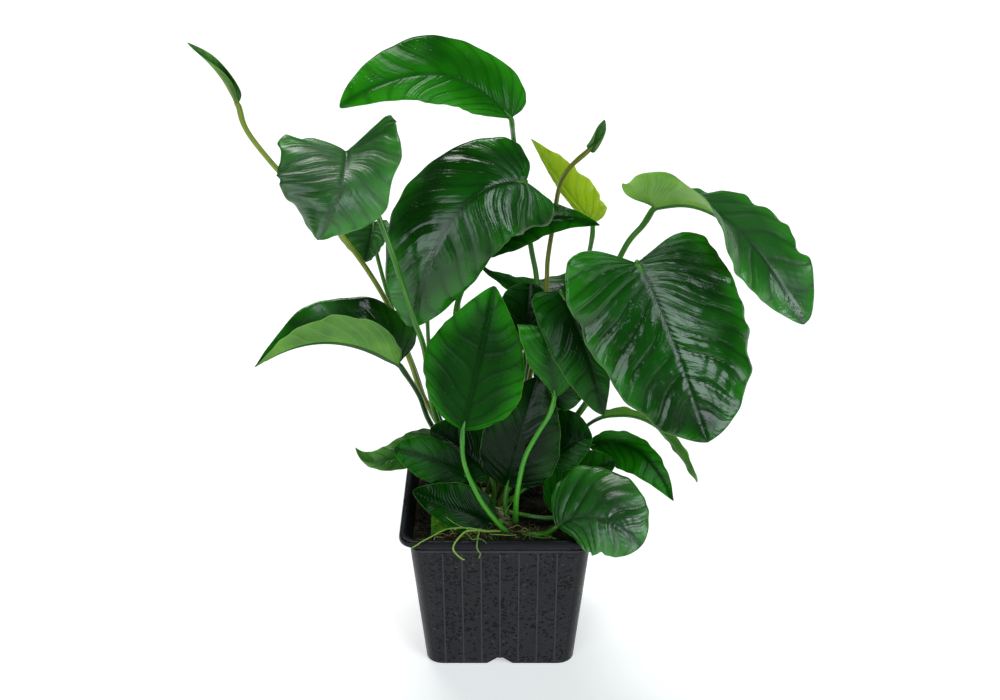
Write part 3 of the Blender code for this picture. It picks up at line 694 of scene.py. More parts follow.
def build_stalk(name, mat, blade, way, radii, finish):
    """Grooved stalk with a sheath-like foot and a thicker knee, running on as the rib under the blade."""
    foot, top = radii
    line = smooth(list(way) + [tuple(blade.joint)], 9)
    lengths = np.concatenate([[0.0], np.cumsum(np.linalg.norm(np.diff(line, axis=0), axis=1))])
    count = max(24, int(lengths[-1] / 2.0))
    even = np.linspace(0, lengths[-1], count)
    line = np.stack([np.interp(even, lengths, line[:, i]) for i in range(3)], axis=1)
    share = even / lengths[-1]
    radius = foot + (top - foot) * share
    radius = radius * (1 + 0.30 * np.exp(-even / 6.0))
    radius = radius * (1 + 0.16 * np.exp(-((lengths[-1] - even - 6.0) / 5.0) ** 2))
    run = np.linspace(1.5, 0.92 * blade.length, RIB_POINTS)
    place, _, up, part = blade.frame(run)
    thin = top * 0.85 * (1 - part) ** 0.9 + 0.12
    below = place - up * (0.25 + thin * 0.72 + 0.35)[:, None]
    blend = step(run, 0.0, 9.0)[:, None]
    below = below * blend + (place - up * 0.6) * (1 - blend)
    line[-1] = line[-1] - up[0] * 0.6
    rods = Strands()
    rods.add(np.concatenate([line, below]), np.concatenate([radius, thin]), sides=STALK_SIDES,
             groove=STALK_GROOVE)
    stretch = (count + RIB_POINTS) / count
    rods.marks["along"] = [min(1.0, value * stretch) for value in rods.marks["along"]]
    rods.build("stem_" + name, mat, finish, ("stalk_" + name,))


def seat(rank, y):
    """Foot of a stalk on the left, the top or the right of the stem, at distance y from the front."""
    side = {"left": -3.4, "top": 0.0, "right": 3.4}[rank]
    x = STEM_FRONT[0] + (STEM_BACK[0] - STEM_FRONT[0]) * (y - STEM_FRONT[1]) / (STEM_BACK[1] - STEM_FRONT[1])
    return (x + side, y + 0.37 * side, 88.6 if rank == "top" else 87.6)


def grow(name, look, stalk_look, blade, way, radii, under="green", **settings):
    """One leaf: blade and stalk."""
    seed = sum(ord(letter) * (i + 3) for i, letter in enumerate(name))
    mats = [LEAF_TOPS[look], LEAF_UNDERS[under]]
    build_blade(name, mats, blade, LEAF_SLOTS.get(name, "leaf_dark"), seed, **settings)
    finish = "stalk_olive" if stalk_look in ("olive", "brown") else "stalk_green"
    build_stalk(name, STALK_SKINS[stalk_look], blade, way, radii, finish)


def upper_leaves():
    """Tall leaves of the left and the middle, from left to right."""
    grow("rolled", "soft", "olive",
         Blade((-140, 45, 305), (-147, 42, 322), (-162, 38, 339), face=(0.7, -0.55, 0.4), half=6,
               curl=(150, 150), heart=0, wide=0.7, point=0.12, ripple=(0, 1, 0)),
         [seat("left", 23), (-43, 29, 133), (-52, 36, 156), (-65, 44, 190), (-86, 40, 229), (-113, 42, 259),
          (-135, 44, 288)], (1.6, 1.5), quilt=0.04, warp=0, rough=0)
    grow("saddle", "satin", "green",
         Blade((-79, 10, 289), (-80, -18, 278), (-91, -30, 256), face=(-0.1, -0.62, 0.75), half=(31, 34),
               fold=(22, 38), fold_tip=(-60, -6), curl=(0, -22), heart=(3.2, 2.8), wide=(0.6, 0.92),
               lobe=(1.2, 0.8), blunt=(0.7, 0.50), point=0.0, ripple=(0.07, 2.5, 0.5)),
         [seat("left", 13), (-36, 11, 132), (-41, 0, 180), (-46, -5, 201), (-51, -7, 221), (-56, -4, 238),
          (-67, 6, 265)], (1.8, 1.5), rough=1.6, warp=0.8,
         dents=((0, 0.55, 0.10, 0.05), (0, 0.75, -0.08, 0.05), (1, 0.36, -0.05, 0.05), (1, 0.66, 0.05, 0.05)))
    grow("arching", "bright", "green",
         Blade((6, 38, 299), (-33, 30, 324), (-82, 15, 311), face=(0, -0.42, 0.9), half=(18, 27),
               fold=(-10, 18), curl=(-15, -14), heart=(0.1, 1.6), wide=(0.9, 0.97), lobe=(0.9, 0.75),
               blunt=0.68, point=0.1, ripple=(0.03, 3, 0.5)),
         [seat("top", 8), (9, 14, 116), (18, 32, 171), (21, 48, 198), (18, 57, 216), (13, 63, 243),
          (8, 55, 278)], (1.8, 1.4), veins=9, tone=0.55)
    grow("high", "dark", "green",
         Blade((14, 28, 267), (-23, 10, 255), (-48, 2, 193), face=(-0.05, -0.78, 0.62), half=(30, 34),
               fold=(-8, 0), curl=(-14, -24), heart=(3.4, 1.9), wide=(1.0, 0.95), blunt=0.62, point=0.03,
               ripple=(0.03, 3, 0.5)),
         [seat("left", 8), (-18, 10, 125), (-24, 16, 179), (-23, 22, 200), (-13, 30, 218), (4, 34, 240)],
         (1.9, 1.6), veins=9, slant=0.5, rough=1.6,
         dents=((0, 0.10, 0.10, 0.035), (0, 0.20, -0.05, 0.03), (0, 0.30, 0.08, 0.04), (1, 0.12, 0.05, 0.04)))
    grow("shaded", "shade", "green",
         Blade((-17, 46, 221), (19, 40, 240), (55, 34, 240), face=(0, -0.5, 0.85), half=(17, 13),
               fold=(-2, -12), curl=(0, -20), heart=1.2, wide=0.9, blunt=0.75, point=0.2),
         [seat("top", 15), (-15, 20, 112), (-22, 40, 161), (-24, 48, 186), (-21, 50, 204)], (1.6, 1.3),
         quilt=0.7)
    grow("yellow", "yellow", "green",
         Blade((53, 62, 230), (35, 62, 253), (17, 60, 281), face=(0.1, -0.95, 0.1), half=(3, 15),
               fold=(0, 5), curl=(0, 10), heart=(0.4, 1.4), wide=0.75, blunt=0.8, point=0.1),
         [seat("right", 12), (14, 14, 106), (35, 28, 144), (43, 45, 178), (52, 60, 218)], (1.6, 1.4),
         under="yellow", rough=2.0, warp=0.8, tone=0.7,
         dents=((1, 0.30, 0.10, 0.05), (1, 0.58, 0.12, 0.05), (1, 0.80, -0.10, 0.05)))
    grow("bud", "soft", "brown",
         Blade((48, 42, 280), (52, 42, 286), (56, 42, 297), face=(0, -0.9, 0.3), half=7,
               curl=(150, 150), heart=0, wide=0.7, point=0.2, ripple=(0, 1, 0)),
         [seat("top", 1), (7, 6, 114), (20, 22, 170), (26, 42, 198), (27, 48, 214), (30, 54, 233),
          (33, 54, 255), (38, 48, 268)], (1.5, 1.3), quilt=0.04, warp=0, rough=0)
    grow("small_left", "satin", "green",
         Blade((-73, 70, 228), (-74, 60, 221), (-77, 54, 210), face=(0.1, -0.5, 0.8), half=(12, 24),
               fold=(35, 28), heart=1, point=0.05),
         [seat("left", 29), (-42, 48, 117), (-51, 58, 139), (-64, 70, 173), (-73, 76, 209)], (1.5, 1.2))


def right_leaves():
    """Leaves of the right side, from the large ones down to the rim."""
    grow("heart", "dark", "green",
         Blade((68, -38, 247), (84, -50, 216), (104, -72, 164), face=(0.1, -0.8, 0.6), half=(48, 41),
               fold=(-4, -4), curl=(-20, -14), heart=(1.5, 3.9), wide=(0.86, 0.9), lobe=(0.66, 1.0),
               blunt=(0.62, 0.7), point=0),
         [seat("right", -5), (32, 5, 121), (52, 4, 152), (63, -6, 183), (68, -22, 220)], (2.0, 1.8),
         veins=9, slant=0.62, rough=1.7, tone=0.55, quilt=0.6,
         dents=((0, 0.56, 0.05, 0.04), (0, 0.68, 0.07, 0.03), (0, 0.76, -0.04, 0.03), (0, 0.14, 0.04, 0.03),
                (1, 0.80, 0.07, 0.04), (1, 0.45, 0.03, 0.05)))
    grow("upper_right", "wet", "green",
         Blade((81, 12, 258), (119, 2, 254), (159, -20, 205), face=(0, -0.1, 1), face_tip=(0.25, -0.75, 0.6),
               half=(35, 30), fold=(-15, 72), fold_tip=(0, -25), curl=(-10, -10), heart=(0.6, 2.6),
               wide=(1.0, 0.8), lobe=0.8, blunt=(0.5, 0.7), point=0.09, ripple=(0.05, 5, 0.5)),
         [seat("right", 2), (26, 10, 125), (45, 14, 174), (55, 14, 204), (67, 12, 236), (76, 13, 248)],
         (1.8, 1.6), under="lit", veins=8, rough=2.4, tone=0.85,
         dents=((0, 0.22, 0.11, 0.03), (0, 0.36, 0.09, 0.03), (0, 0.50, 0.11, 0.03), (0, 0.63, 0.10, 0.03),
                (0, 0.76, 0.08, 0.03)))
    grow("bowed", "deep", "green",
         Blade((60, 62, 207), (26, 62, 190), (-11, 55, 207), face=(0, -0.35, 0.94), half=(9, 12),
               fold=(-15, -10), heart=1, wide=0.9, point=0.1),
         [seat("right", 22), (16, 26, 102), (48, 46, 145), (67, 60, 188)], (1.6, 1.4))
    grow("edgewise", "deep", "green",
         Blade((31, -25, 226), (44, -41, 200), (54, -48, 166), face=(0, -0.9, 0.45), half=(13, 18),
               curl=(0, -10), heart=(2.6, 2.4), lobe=0.8, blunt=(0.9, 0.6), point=0.05),
         [seat("top", -7), (20, 4, 131), (31, 4, 166), (32, -8, 202)], (1.6, 1.3))
    grow("over_rim", "wet", "green",
         Blade((31, -42, 94), (52, -53, 107), (75, -61, 94), face=(0, -0.6, 0.8), face_tip=(0, -0.8, 0.6),
               half=(30, 20), curl=(-20, -16), heart=(1.2, 0), wide=(0.85, 1.1), lobe=(0.6, 1.4),
               blunt=(0.6, 0.45), point=0, ripple=(0.05, 3, 0.5)),
         [(11.5, -36, 86), (17, -38, 86), (25, -40, 88)], (1.5, 1.3), veins=7, rough=1.3, quilt=1.15,
         warp=0.8, tone=0.6,
         dents=((0, 0.30, 0.05, 0.05), (0, 0.55, 0.05, 0.04), (0, 0.72, 0.06, 0.05), (1, 0.50, 0.05, 0.04),
                (1, 0.72, 0.10, 0.05), (1, 0.88, -0.08, 0.04)))
    grow("low_right", "matt", "green",
         Blade((51, 10, 114), (78, -1, 118), (98, -15, 93), face=(0.2, -0.6, 0.75), half=(9, 15),
               curl=(-20, -20), heart=0.4, wide=(0.75, 1.0), point=0.14),
         [seat("right", 7), (26, 10, 91), (42, 13, 106)], (1.3, 1.1), quilt=0.35, tone=0.6)
    grow("curved_right", "dark", "green",
         Blade((59, 8, 135), (87, -4, 136), (110, -18, 107), face=(0.3, 0.6, 0.6), half=(11, 9),
               fold=(20, 0), fold_tip=(0, 0), heart=1),
         [seat("right", 17), (29, 19, 100), (50, 18, 123)], (1.3, 1.1), quilt=0.35, tone=0.6)
    grow("torn_tip", "deep", "green",
         Blade((25, -10, 113), (37, -9, 125), (51, -7, 132), face=(0, -0.8, 0.6), half=(22, 12),
               heart=0.4, wide=(1.2, 0.9), lobe=0.7, blunt=0.5, point=0),
         [seat("right", -12), (20, -12, 105)], (1.3, 1.1))
    grow("low_shaded", "shade", "green",
         Blade((33, -26, 89), (44, -12, 103), (65, -8, 114), face=(0, -0.75, 0.66), half=(16, 12),
               fold=(0, 20), heart=(0.6, 0), wide=0.95, blunt=0.6, point=0),
         [seat("right", -19), (22, -24, 88)], (1.3, 1.1))


def middle_leaves():
    """Leaves of the middle, front and behind."""
    grow("centre", "matt", "lime",
         Blade((-20, -26, 145), (-10, -21, 189), (-3, -13, 224), face=(-0.08, -0.86, 0.5), half=(31, 26),
               fold=(-6, 6), curl=(-14, -10), heart=(0.8, 0.4), wide=(0.95, 0.9), blunt=0.72, point=0.1),
         [(5.5, -37.5, 86), (-0.5, -38.5, 93), (-10, -39, 108), (-17, -38, 124), (-20, -33, 134)], (1.5, 1.2),
         tone=0.55, quilt=0.36, veins=7)
    grow("inner_back", "bright", "green",
         Blade((-41, 30, 193), (-26, 34, 200), (-11, 40, 215), face=(0.3, 0.8, 0.5), half=(5, 8),
               heart=0.4, wide=0.9, blunt=0.8, point=0.05),
         [seat("top", 22), (-35, 34, 118), (-40, 37, 143), (-41, 34, 173)], (1.4, 1.2))
    grow("folded_tip", "mid", "lime",
         Blade((29, -30, 167), (24, -33, 207), (24, -14, 188), face=(0, -0.95, 0.45), face_tip=(0, 0.3, 0.95),
               half=(15, 16), fold=(12, 5), curl=(-5, -5), heart=0, wide=(1.5, 1.0), lobe=(0.9, 0.6),
               blunt=(0.5, 0.6), point=0.05),
         [(8.5, -31, 89.5), (9, -34, 106), (11, -35, 122), (14, -35, 135), (20, -35, 148), (26, -33, 158)],
         (1.5, 1.15))
    grow("back_centre", "deep", "green",
         Blade((14, 2, 179), (15, 6, 197), (16, 12, 215), face=(0, -0.9, 0.4), half=(17, 13),
               heart=0.5, wide=1.1, blunt=0.4, point=0),
         [seat("left", -3), (1, 3, 116), (12, 6, 159)], (1.4, 1.2))
    grow("glossy", "deep", "green",
         Blade((27, -14, 159), (34, -14, 174), (28, -10, 190), face=(0, -0.9, 0.4), half=(16, 14),
               heart=1.6, lobe=0.7, blunt=0.65, point=0.05),
         [seat("top", -13), (16, -8, 116), (25, -10, 146)], (1.4, 1.2))
    grow("front_bright", "deep", "green",
         Blade((4, -22, 107), (11, -24, 140), (20, -14, 171), face=(0, -0.85, 0.55), half=(20, 23),
               fold=(5, 5), curl=(-8, -8), heart=(0.6, 0.9), wide=(0.9, 0.95), lobe=0.8, blunt=0.6,
               point=0.05),
         [(4, -27, 91), (3, -25, 98)], (1.4, 1.2), tone=0.35)


def low_left_leaves():
    """Leaves of the left side, from the folded one down into the pot."""
    grow("folded_left", "dark", "deep",
         Blade((-56, 8, 168), (-95, 4, 184), (-133, -8, 174), face=(0, 0, 1), half=(20, 29),
               fold=(75, 42), fold_tip=(60, 50), heart=(0.5, 1.9), wide=(0.85, 0.8), lobe=0.8,
               blunt=(0.9, 1.1), point=0.1, ripple=(0.03, 4, 0.5)),
         [seat("left", 18), (-39, 19, 122), (-46, 15, 145)], (1.7, 1.5), quilt=0.6, tone=0.5)
    grow("inner_left", "deep", "green",
         Blade((-5, -10, 106), (-19, -4, 118), (-39, -1, 132), face=(-0.1, -0.8, 0.6), half=(14, 18),
               heart=1, wide=0.9, blunt=0.6, point=0),
         [seat("left", -15), (-3, -13, 99)], (1.3, 1.1))
    grow("low_oval", "shade", "green",
         Blade((-17, -15, 108), (-37, -19, 122), (-58, -21, 130), face=(0, -0.75, 0.65), half=(12, 12.5),
               curl=(-15, -15), heart=0.6, wide=(0.95, 1.15), blunt=0.55, point=0),
         [seat("left", -21), (-12, -16, 100)], (1.3, 1.1), quilt=0.2, tone=0.4)
    grow("twisted", "soft", "green",
         Blade((-34, 6, 122), (-66, 0, 110), (-81, -5, 122), face=(0, -0.6, 0.8), half=(8, 12),
               heart=0.8, wide=0.75, blunt=0.85, point=0.1),
         [seat("left", 3), (-29, 5, 111)], (1.3, 1.1), quilt=0.35)
    grow("in_pot", "shade", "green",
         Blade((-3, -32, 88), (-25, -32, 99), (-48, -30, 109), face=(0, -0.8, 0.6), half=(11, 15),
               heart=0.8, wide=0.85, blunt=0.65, point=0.05),
         [(1.5, -29.5, 89.5), (-1, -31, 88.6)], (1.3, 1.1), quilt=0.14, tone=0.35)


# pot

def body_half(height):
    """Half the width of the pot's wall at a height."""
    return (FOOT_WIDTH + (TOP_WIDTH - FOOT_WIDTH) * height / BODY_TOP) / 2


def pot_ring(half, corner, height, lift=0.0):
    """Square ring with rounded corners; the sides carry points for the upright ribs, raised by lift."""
    flat = half - corner
    side = [(half, -flat)]
    for k in range(RIB_COUNT):
        middle = (k - (RIB_COUNT - 1) / 2) * RIB_PITCH
        for offset, share in ((-1.7, 0), (-1, 1), (1, 1), (1.7, 0)):
            side.append((half + lift * share, middle + offset * RIB_HALF_WIDTH))
    for number in range(CORNER_STEPS):
        angle = math.pi / 2 * number / CORNER_STEPS
        side.append((flat + corner * math.cos(angle), flat + corner * math.sin(angle)))
    ring = []
    for quarter in range(4):
        cosine = math.cos(math.pi / 2 * quarter)
        sine = math.sin(math.pi / 2 * quarter)
        ring += [(x * cosine - y * sine, x * sine + y * cosine, height) for x, y in side]
    return ring


def pot_rings():
    """Up the outside with its ribs and ledge, over the rolled lip and down the inside."""
    rings = [pot_ring(body_half(0) - 0.5, TOP_CORNER, 0.0), pot_ring(body_half(0.6), TOP_CORNER, 0.6)]
    for height, share in RIB_RUN:
        rings.append(pot_ring(body_half(height), TOP_CORNER, height, share * RIB_HEIGHT))
    for height, proud in LEDGE:
        rings.append(pot_ring(body_half(height) + proud, TOP_CORNER, height))
    for inward, corner, rise in LIP:
        rings.append(pot_ring(RIM_WIDTH / 2 - inward, corner, POT_HEIGHT - LIP_HEIGHT + rise))
    for height in (BODY_TOP - 1.0, FLOOR):
        rings.append(pot_ring(body_half(height) - WALL, TOP_CORNER - WALL, height))
    return rings


def prism(name, section, near, far):
    """Block with the given section in y and z, from x = near to x = far."""
    return plain(name, *loft([[(x, y, z) for y, z in section] for x in (near, far)]))


def build_pot():
    """Pot with a drain notch in each foot edge and a pocket that closes it toward the inside."""
    rough = plain("pot_rough", *loft(pot_rings()))
    wide = NOTCH_WIDE / 2
    narrow = NOTCH_NARROW / 2
    half = [(wide, -1.0), (wide, 0.0), (narrow + 0.6, NOTCH_HEIGHT - 0.5), (narrow - 0.3, NOTCH_HEIGHT)]
    notch_section = [(-wide, -1.0)] + half + [(-y, z) for y, z in half[:0:-1]]
    side = POCKET_HALF_WIDTH
    pocket_section = [(-side, FLOOR / 2), (side, FLOOR / 2), (side, POCKET_TOP), (-side, POCKET_TOP)]
    foot = FOOT_WIDTH / 2
    cutters = []
    for quarter in range(4):
        pocket = prism("pot_pocket_%d" % quarter, pocket_section, foot - NOTCH_DEPTH - WALL, foot - WALL / 2)
        notch = prism("pot_notch_%d" % quarter, notch_section, foot - NOTCH_DEPTH, foot + 3.0)
        for item, operation in ((pocket, "UNION"), (notch, "DIFFERENCE")):
            item.rotation_euler = (0, 0, math.pi / 2 * quarter)
            change = rough.modifiers.new(item.name, "BOOLEAN")
            change.operation = operation
            change.solver = "EXACT"
            change.object = item
            cutters.append(item)
    bpy.context.view_layer.update()
    graph = bpy.context.evaluated_depsgraph_get()
    mesh = bpy.data.meshes.new_from_object(rough.evaluated_get(graph))
    for item in cutters + [rough]:
        bpy.data.objects.remove(item, do_unlink=True)
    places = np.zeros(len(mesh.vertices) * 3)
    mesh.vertices.foreach_get("co", places)
    places = places.reshape(-1, 3) / MM
    wall = np.max(np.abs(places[:, :2]), axis=1) - body_half(places[:, 2])
    on_body = (places[:, 2] < 86.0) & (wall > -0.4)
    marks = {"rib": np.where(on_body, np.clip(wall / RIB_HEIGHT, 0.0, 1.0), 0.0), "edge": on_body}
    mesh.name = "nursery_pot"
    mesh.materials.clear()
    dress(place_mesh("nursery_pot", mesh), [pot_skin()], marks=marks, cad=("pot",))
    mesh.set_sharp_from_angle(angle=math.radians(SHARP_ANGLE))


# growing medium, stem and roots

def fill_height(x, y):
    """Uneven top of the growing medium, as in the CAD part."""
    return FILL_TOP + 0.5 * (math.sin(0.21 * x + 0.6) * math.cos(0.17 * y) - 0.4)


def moss_height(x, y):
    """Top of the moss and fibre layer: lumpy, higher round the front stalks, low at the wall."""
    lumps = fractal(Vector((x * 0.09, y * 0.09, 1.7)), 0.7, 2.1, 5)
    mound = 3.4 * math.exp(-((x + 2) / 24) ** 2 - ((y + 36) / 9) ** 2)
    near_wall = max(0.0, 1.0 - (46.5 - max(abs(x), abs(y))) / 4.0)
    return fill_height(x, y) + 0.9 + 1.3 * lumps + mound * (1 - near_wall) - 1.1 * near_wall


def build_moss():
    """Closed lumpy layer over the growing medium."""
    half = body_half(FILL_TOP) - WALL - 0.45
    steps = [2 * i / MAT_STEPS - 1 for i in range(MAT_STEPS + 1)]
    flat = []
    for a in steps:
        for b in steps:
            round_size = (abs(a) ** MAT_SQUARENESS + abs(b) ** MAT_SQUARENESS) ** (1 / MAT_SQUARENESS)
            scale = half * max(abs(a), abs(b)) / round_size if round_size > 0 else 0.0
            flat.append((a * scale, b * scale))
    points = [(x, y, moss_height(x, y)) for x, y in flat] + [(x, y, fill_height(x, y) - 0.6) for x, y in flat]
    # painted shade: the moss and peat are near black, darker than damp peat, for the shade inside the pot
    mat = medium_skin("moss_and_peat_painted_shade", (0.0008, 0.0007, 0.0004), (0.006, 0.0055, 0.002))
    dress(plain("moss_mat", points, sheet_faces(MAT_STEPS)), [mat])


def inside_pot(x, y, margin):
    """Whether a place is over the growing medium, at least the margin from the wall."""
    half = body_half(FILL_TOP) - WALL - margin
    return abs(x) < half and abs(y) < half


def fibre_line(draw, x, y, length, rise):
    """Curly thin line that lies on the moss, with its middle raised a little."""
    heading = draw.uniform(0, 2 * math.pi)
    turn = draw.uniform(-0.35, 0.35)
    count = max(5, int(length / FIBRE_STEP))
    line = []
    for i in range(count):
        share = i / (count - 1)
        z = moss_height(x, y) + 0.15 + rise * math.sin(math.pi * share)
        line.append((x, y, z))
        heading += turn + draw.uniform(-0.35, 0.35)
        next_x = x + FIBRE_STEP * math.cos(heading)
        next_y = y + FIBRE_STEP * math.sin(heading)
        if inside_pot(next_x, next_y, 1.2):
            x, y = next_x, next_y
        else:
            heading += 2.2
    clean = [line[0]]
    for place in line[1:]:
        if math.dist(place[:2], clean[-1][:2]) > 0.5:
            clean.append(place)
    return clean


# name, count, material, darkest and lightest colour, least and greatest radius
FIBRES = (("fibres_brown", 1500, "fibre_brown", (0.0018, 0.0012, 0.0006), (0.06, 0.042, 0.010), (0.10, 0.22)),
          ("fibres_green", 620, "fibre_green", (0.0012, 0.0030, 0.0008), (0.04, 0.07, 0.008), (0.12, 0.26)),
          ("fibres_pale", 230, "fibre_pale", (0.10, 0.08, 0.02), (0.42, 0.36, 0.12), (0.10, 0.20)))


def build_fibres():
    """Loose fibres on the moss, most of them near the front; fibres further from the front wall are painted
    darker, as shade.
    """
    draw = random.Random(11)
    for name, count, mat_name, dark, light, thick in FIBRES:
        strands = Strands()
        for _ in range(count):
            x = draw.uniform(-45, 45)
            y = draw.uniform(-45, 45) if draw.random() < 0.45 else -45 + abs(draw.gauss(0, 11))
            if name == "fibres_pale" and draw.random() < 0.8:
                x = draw.choice((-18.0, 20.0)) + draw.gauss(0, 9)
                y = -42 + abs(draw.gauss(0, 5))
            if not inside_pot(x, y, 1.5):
                continue
            line = fibre_line(draw, x, y, draw.uniform(4, 17), abs(draw.gauss(0.3, 1.1)))
            if len(line) < 4:
                continue
            radius = draw.uniform(*thick)
            radii = [radius * (1 - 0.6 * abs(2 * i / (len(line) - 1) - 1) ** 3) for i in range(len(line))]
            # painted shade: fibres further back from the front wall get darker tones
            near_front = math.exp(-((y + 44) / 10) ** 2)
            strands.add(line, radii, sides=4, tone=draw.random() * (0.25 + 0.75 * near_front))
        strands.build(name, strand_skin(mat_name, dark, light), "growing_medium")


def build_scrap():
    """Bright green flat scrap of moss near the left front corner."""
    back = Vector((-38.6, -21.0, 86.3))
    front = Vector((-37.8, -43.5, 87.4))
    top = []
    for i in range(SCRAP_STEPS + 1):
        a = i / SCRAP_STEPS
        bulge = SCRAP_WIDTH * (1 - abs(2 * a - 0.85) ** 1.6) * (1 + 0.10 * math.sin(23 * a))
        for k in range(SCRAP_STEPS + 1):
            b = k / SCRAP_STEPS
            place = back.lerp(front, a) + Vector((max(bulge, 0.3) * b, 0, 0))
            lumps = fractal(Vector((place.x * 0.2, place.y * 0.2, 5.0)), 0.7, 2.1, 4)
            place.z += 0.8 * lumps + 0.6 * math.sin(3 * b)
            top.append(place)
    low = [place - Vector((0, 0, SCRAP_THICKNESS)) for place in top]
    mat = medium_skin("moss_bright", (0.02, 0.09, 0.004), (0.10, 0.30, 0.01))
    scrap = plain("moss_scrap", [tuple(place) for place in top + low], sheet_faces(SCRAP_STEPS))
    dress(scrap, [mat])


def build_stem():
    """Ringed creeping stem with scars of old stalks."""
    front = np.array((*STEM_FRONT, STEM_HEIGHT))
    back = np.array((*STEM_BACK, STEM_HEIGHT))
    axis = unit(back - front)
    side = unit(np.cross(axis, (0, 0, 1)))
    up = np.cross(side, axis)
    rings = []
    for i in range(STEM_STEPS + 1):
        share = i / STEM_STEPS
        full = min(1.0, math.sin(math.pi * min(1.0, max(0.0, 0.02 + 0.96 * share))) ** 0.22)
        swell = 1 + 0.07 * math.sin(share * 62 + 0.8 * math.sin(share * 17))
        ring = []
        for k in range(STEM_SIDES):
            angle = 2 * math.pi * k / STEM_SIDES
            local = Vector((share * 19, math.cos(angle), math.sin(angle)))
            radius = STEM_RADIUS * full * swell * (1 + 0.10 * fractal(local, 0.8, 2.0, 4))
            outward = side * math.cos(angle) + up * math.sin(angle)
            ring.append(front + (back - front) * share + radius * outward)
        rings.append(ring)
    dress(plain("rhizome_stem", *loft(rings)), [rhizome_skin()], cad=("rhizome",))


def dress_medium():
    """Peat on the CAD's own growing medium."""
    mat = medium_skin("peat_dark", (0.004, 0.003, 0.002), (0.03, 0.02, 0.01))
    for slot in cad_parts["growing_medium"].material_slots:
        slot.material = mat


# each root: its way, then its radius at the foot and at the tip
ROOTS = [
    ([(4, -35, 86), (-3, -41, 90.2), (-7, -44, 92), (-13.6, -45.5, 93.6), (-18.5, -47.5, 94.2),
      (-22, -52.5, 93.8), (-24.5, -56, 92), (-25, -57.2, 89.2), (-23, -57.2, 85.9), (-20.5, -56.6, 82.9),
      (-19.2, -56, 82)], 0.75, 0.45),
    ([(-12.5, -44.5, 93.3), (-11.4, -47.8, 93.6), (-11.9, -51.5, 93.4), (-12.2, -55.6, 93), (-12.4, -57, 91),
      (-11.8, -57, 88.6), (-10.6, -56.8, 86.4), (-11.3, -56.4, 83.2)], 0.55, 0.35),
    ([(-19, -47.3, 93.8), (-16.7, -50.2, 93.4), (-15, -53.4, 93.2), (-11.6, -53.6, 93.9), (-8.6, -54.6, 93.2),
      (-7.4, -56, 92.4)], 0.42, 0.26),
    ([(4, -34, 85), (-8, -38, 88.5), (-18, -40, 91.5), (-27.8, -42, 92.4), (-32, -46, 93.3),
      (-37.2, -51, 93.2), (-41.6, -54.6, 92.9), (-45, -57, 91.8), (-47.6, -57.8, 90.5)], 0.62, 0.34),
    ([(-25, -42.5, 92), (-22, -41.5, 93), (-19, -41.5, 92.6), (-16, -43, 91.6)], 0.36, 0.2),
    ([(-30, -43, 92.8), (-27, -44, 93.4), (-25.5, -46.5, 93)], 0.3, 0.18),
    ([(-29.6, -36, 96), (-26, -37.5, 93.8), (-22.8, -38, 92), (-17, -39, 89.5)], 0.26, 0.18),
    ([(7, -30, 90), (4.6, -31, 93.5), (2.8, -32, 95.2), (4.6, -31, 99), (7.6, -30, 104), (8.6, -29, 108.4)],
     0.3, 0.16),
    ([(-6, -43, 89.5), (0, -44.5, 90.2), (5, -44, 89.5), (9, -42, 88.5)], 0.4, 0.25),
    ([(12, -40, 88), (18, -43, 88), (24, -44.4, 88), (28, -44.6, 88.4), (31, -45.2, 88)], 0.4, 0.2),
    ([(24, -43, 88.4), (27, -44.5, 89.2), (29.5, -45.6, 88.2)], 0.3, 0.18),
]


def build_roots():
    draw = random.Random(5)
    roots = Strands()
    for way, foot, tip in ROOTS:
        line = smooth(way, 7)
        share = np.linspace(0, 1, len(line))
        wobble = np.array([draw.gauss(0, 0.05) for _ in line])
        radii = 0.85 * (foot + (tip - foot) * share + wobble * foot)
        roots.add(line, radii, sides=8, tone=draw.uniform(0.2, 0.8))
    roots.build("roots_green", strand_skin("root_green", (0.03, 0.13, 0.01), (0.22, 0.38, 0.06)),
                "rhizome_green", ("rhizome",))


# surroundings

def build_stage():
    """White floor and even pale surroundings."""
    white = Graph("stage_white")
    shade = white.fade(white.noise(0.8), 0.4, 0.6)
    white.finish(white.mix(shade, (0.72, 0.72, 0.72), (0.74, 0.74, 0.74)), 0.9, specular_ior_level=0.0,
                 emission_color=(1, 1, 1, 1), emission_strength=FLOOR_GLOW)
    corners = [(-FLOOR_REACH, -FLOOR_REACH, 0), (FLOOR_REACH, -FLOOR_REACH, 0),
               (FLOOR_REACH, FLOOR_REACH, 0), (-FLOOR_REACH, FLOOR_REACH, 0)]
    floor = plain("floor", corners, [(0, 1, 2, 3)])
    floor.data.materials.append(white.mat)
    world = bpy.data.worlds.new("studio")
    world.use_nodes = True
    sky = world.node_tree.nodes["Background"]
    sky.inputs["Color"].default_value = SKY_COLOUR
    sky.inputs["Strength"].default_value = SKY_STRENGTH
    bpy.context.scene.world = world
    bpy.context.scene.view_settings.view_transform = "Standard"


def build_lights():
    """Suns as soft as their spread in degrees."""
    for name, toward, spread, strength, colour in LIGHTS:
        data = bpy.data.lights.new(name, "SUN")
        data.angle = math.radians(spread)
        data.energy = strength
        data.color = colour
        item = bpy.data.objects.new(name, data)
        item.rotation_euler = Vector(toward).to_track_quat("Z", "Y").to_euler()
        bpy.context.scene.collection.objects.link(item)


def build_camera():
    """Camera at the photo's place and angle."""
    data = bpy.data.cameras.new("camera")
    data.sensor_width = 36.0
    data.lens = CAMERA_LENS
    data.clip_start = 0.01
    item = bpy.data.objects.new("camera", data)
    item.location = CAMERA_PLACE
    item.rotation_euler = (math.radians(90.0 - CAMERA_PITCH), 0.0, 0.0)
    bpy.context.scene.collection.objects.link(item)
    bpy.context.scene.camera = item


# everything together

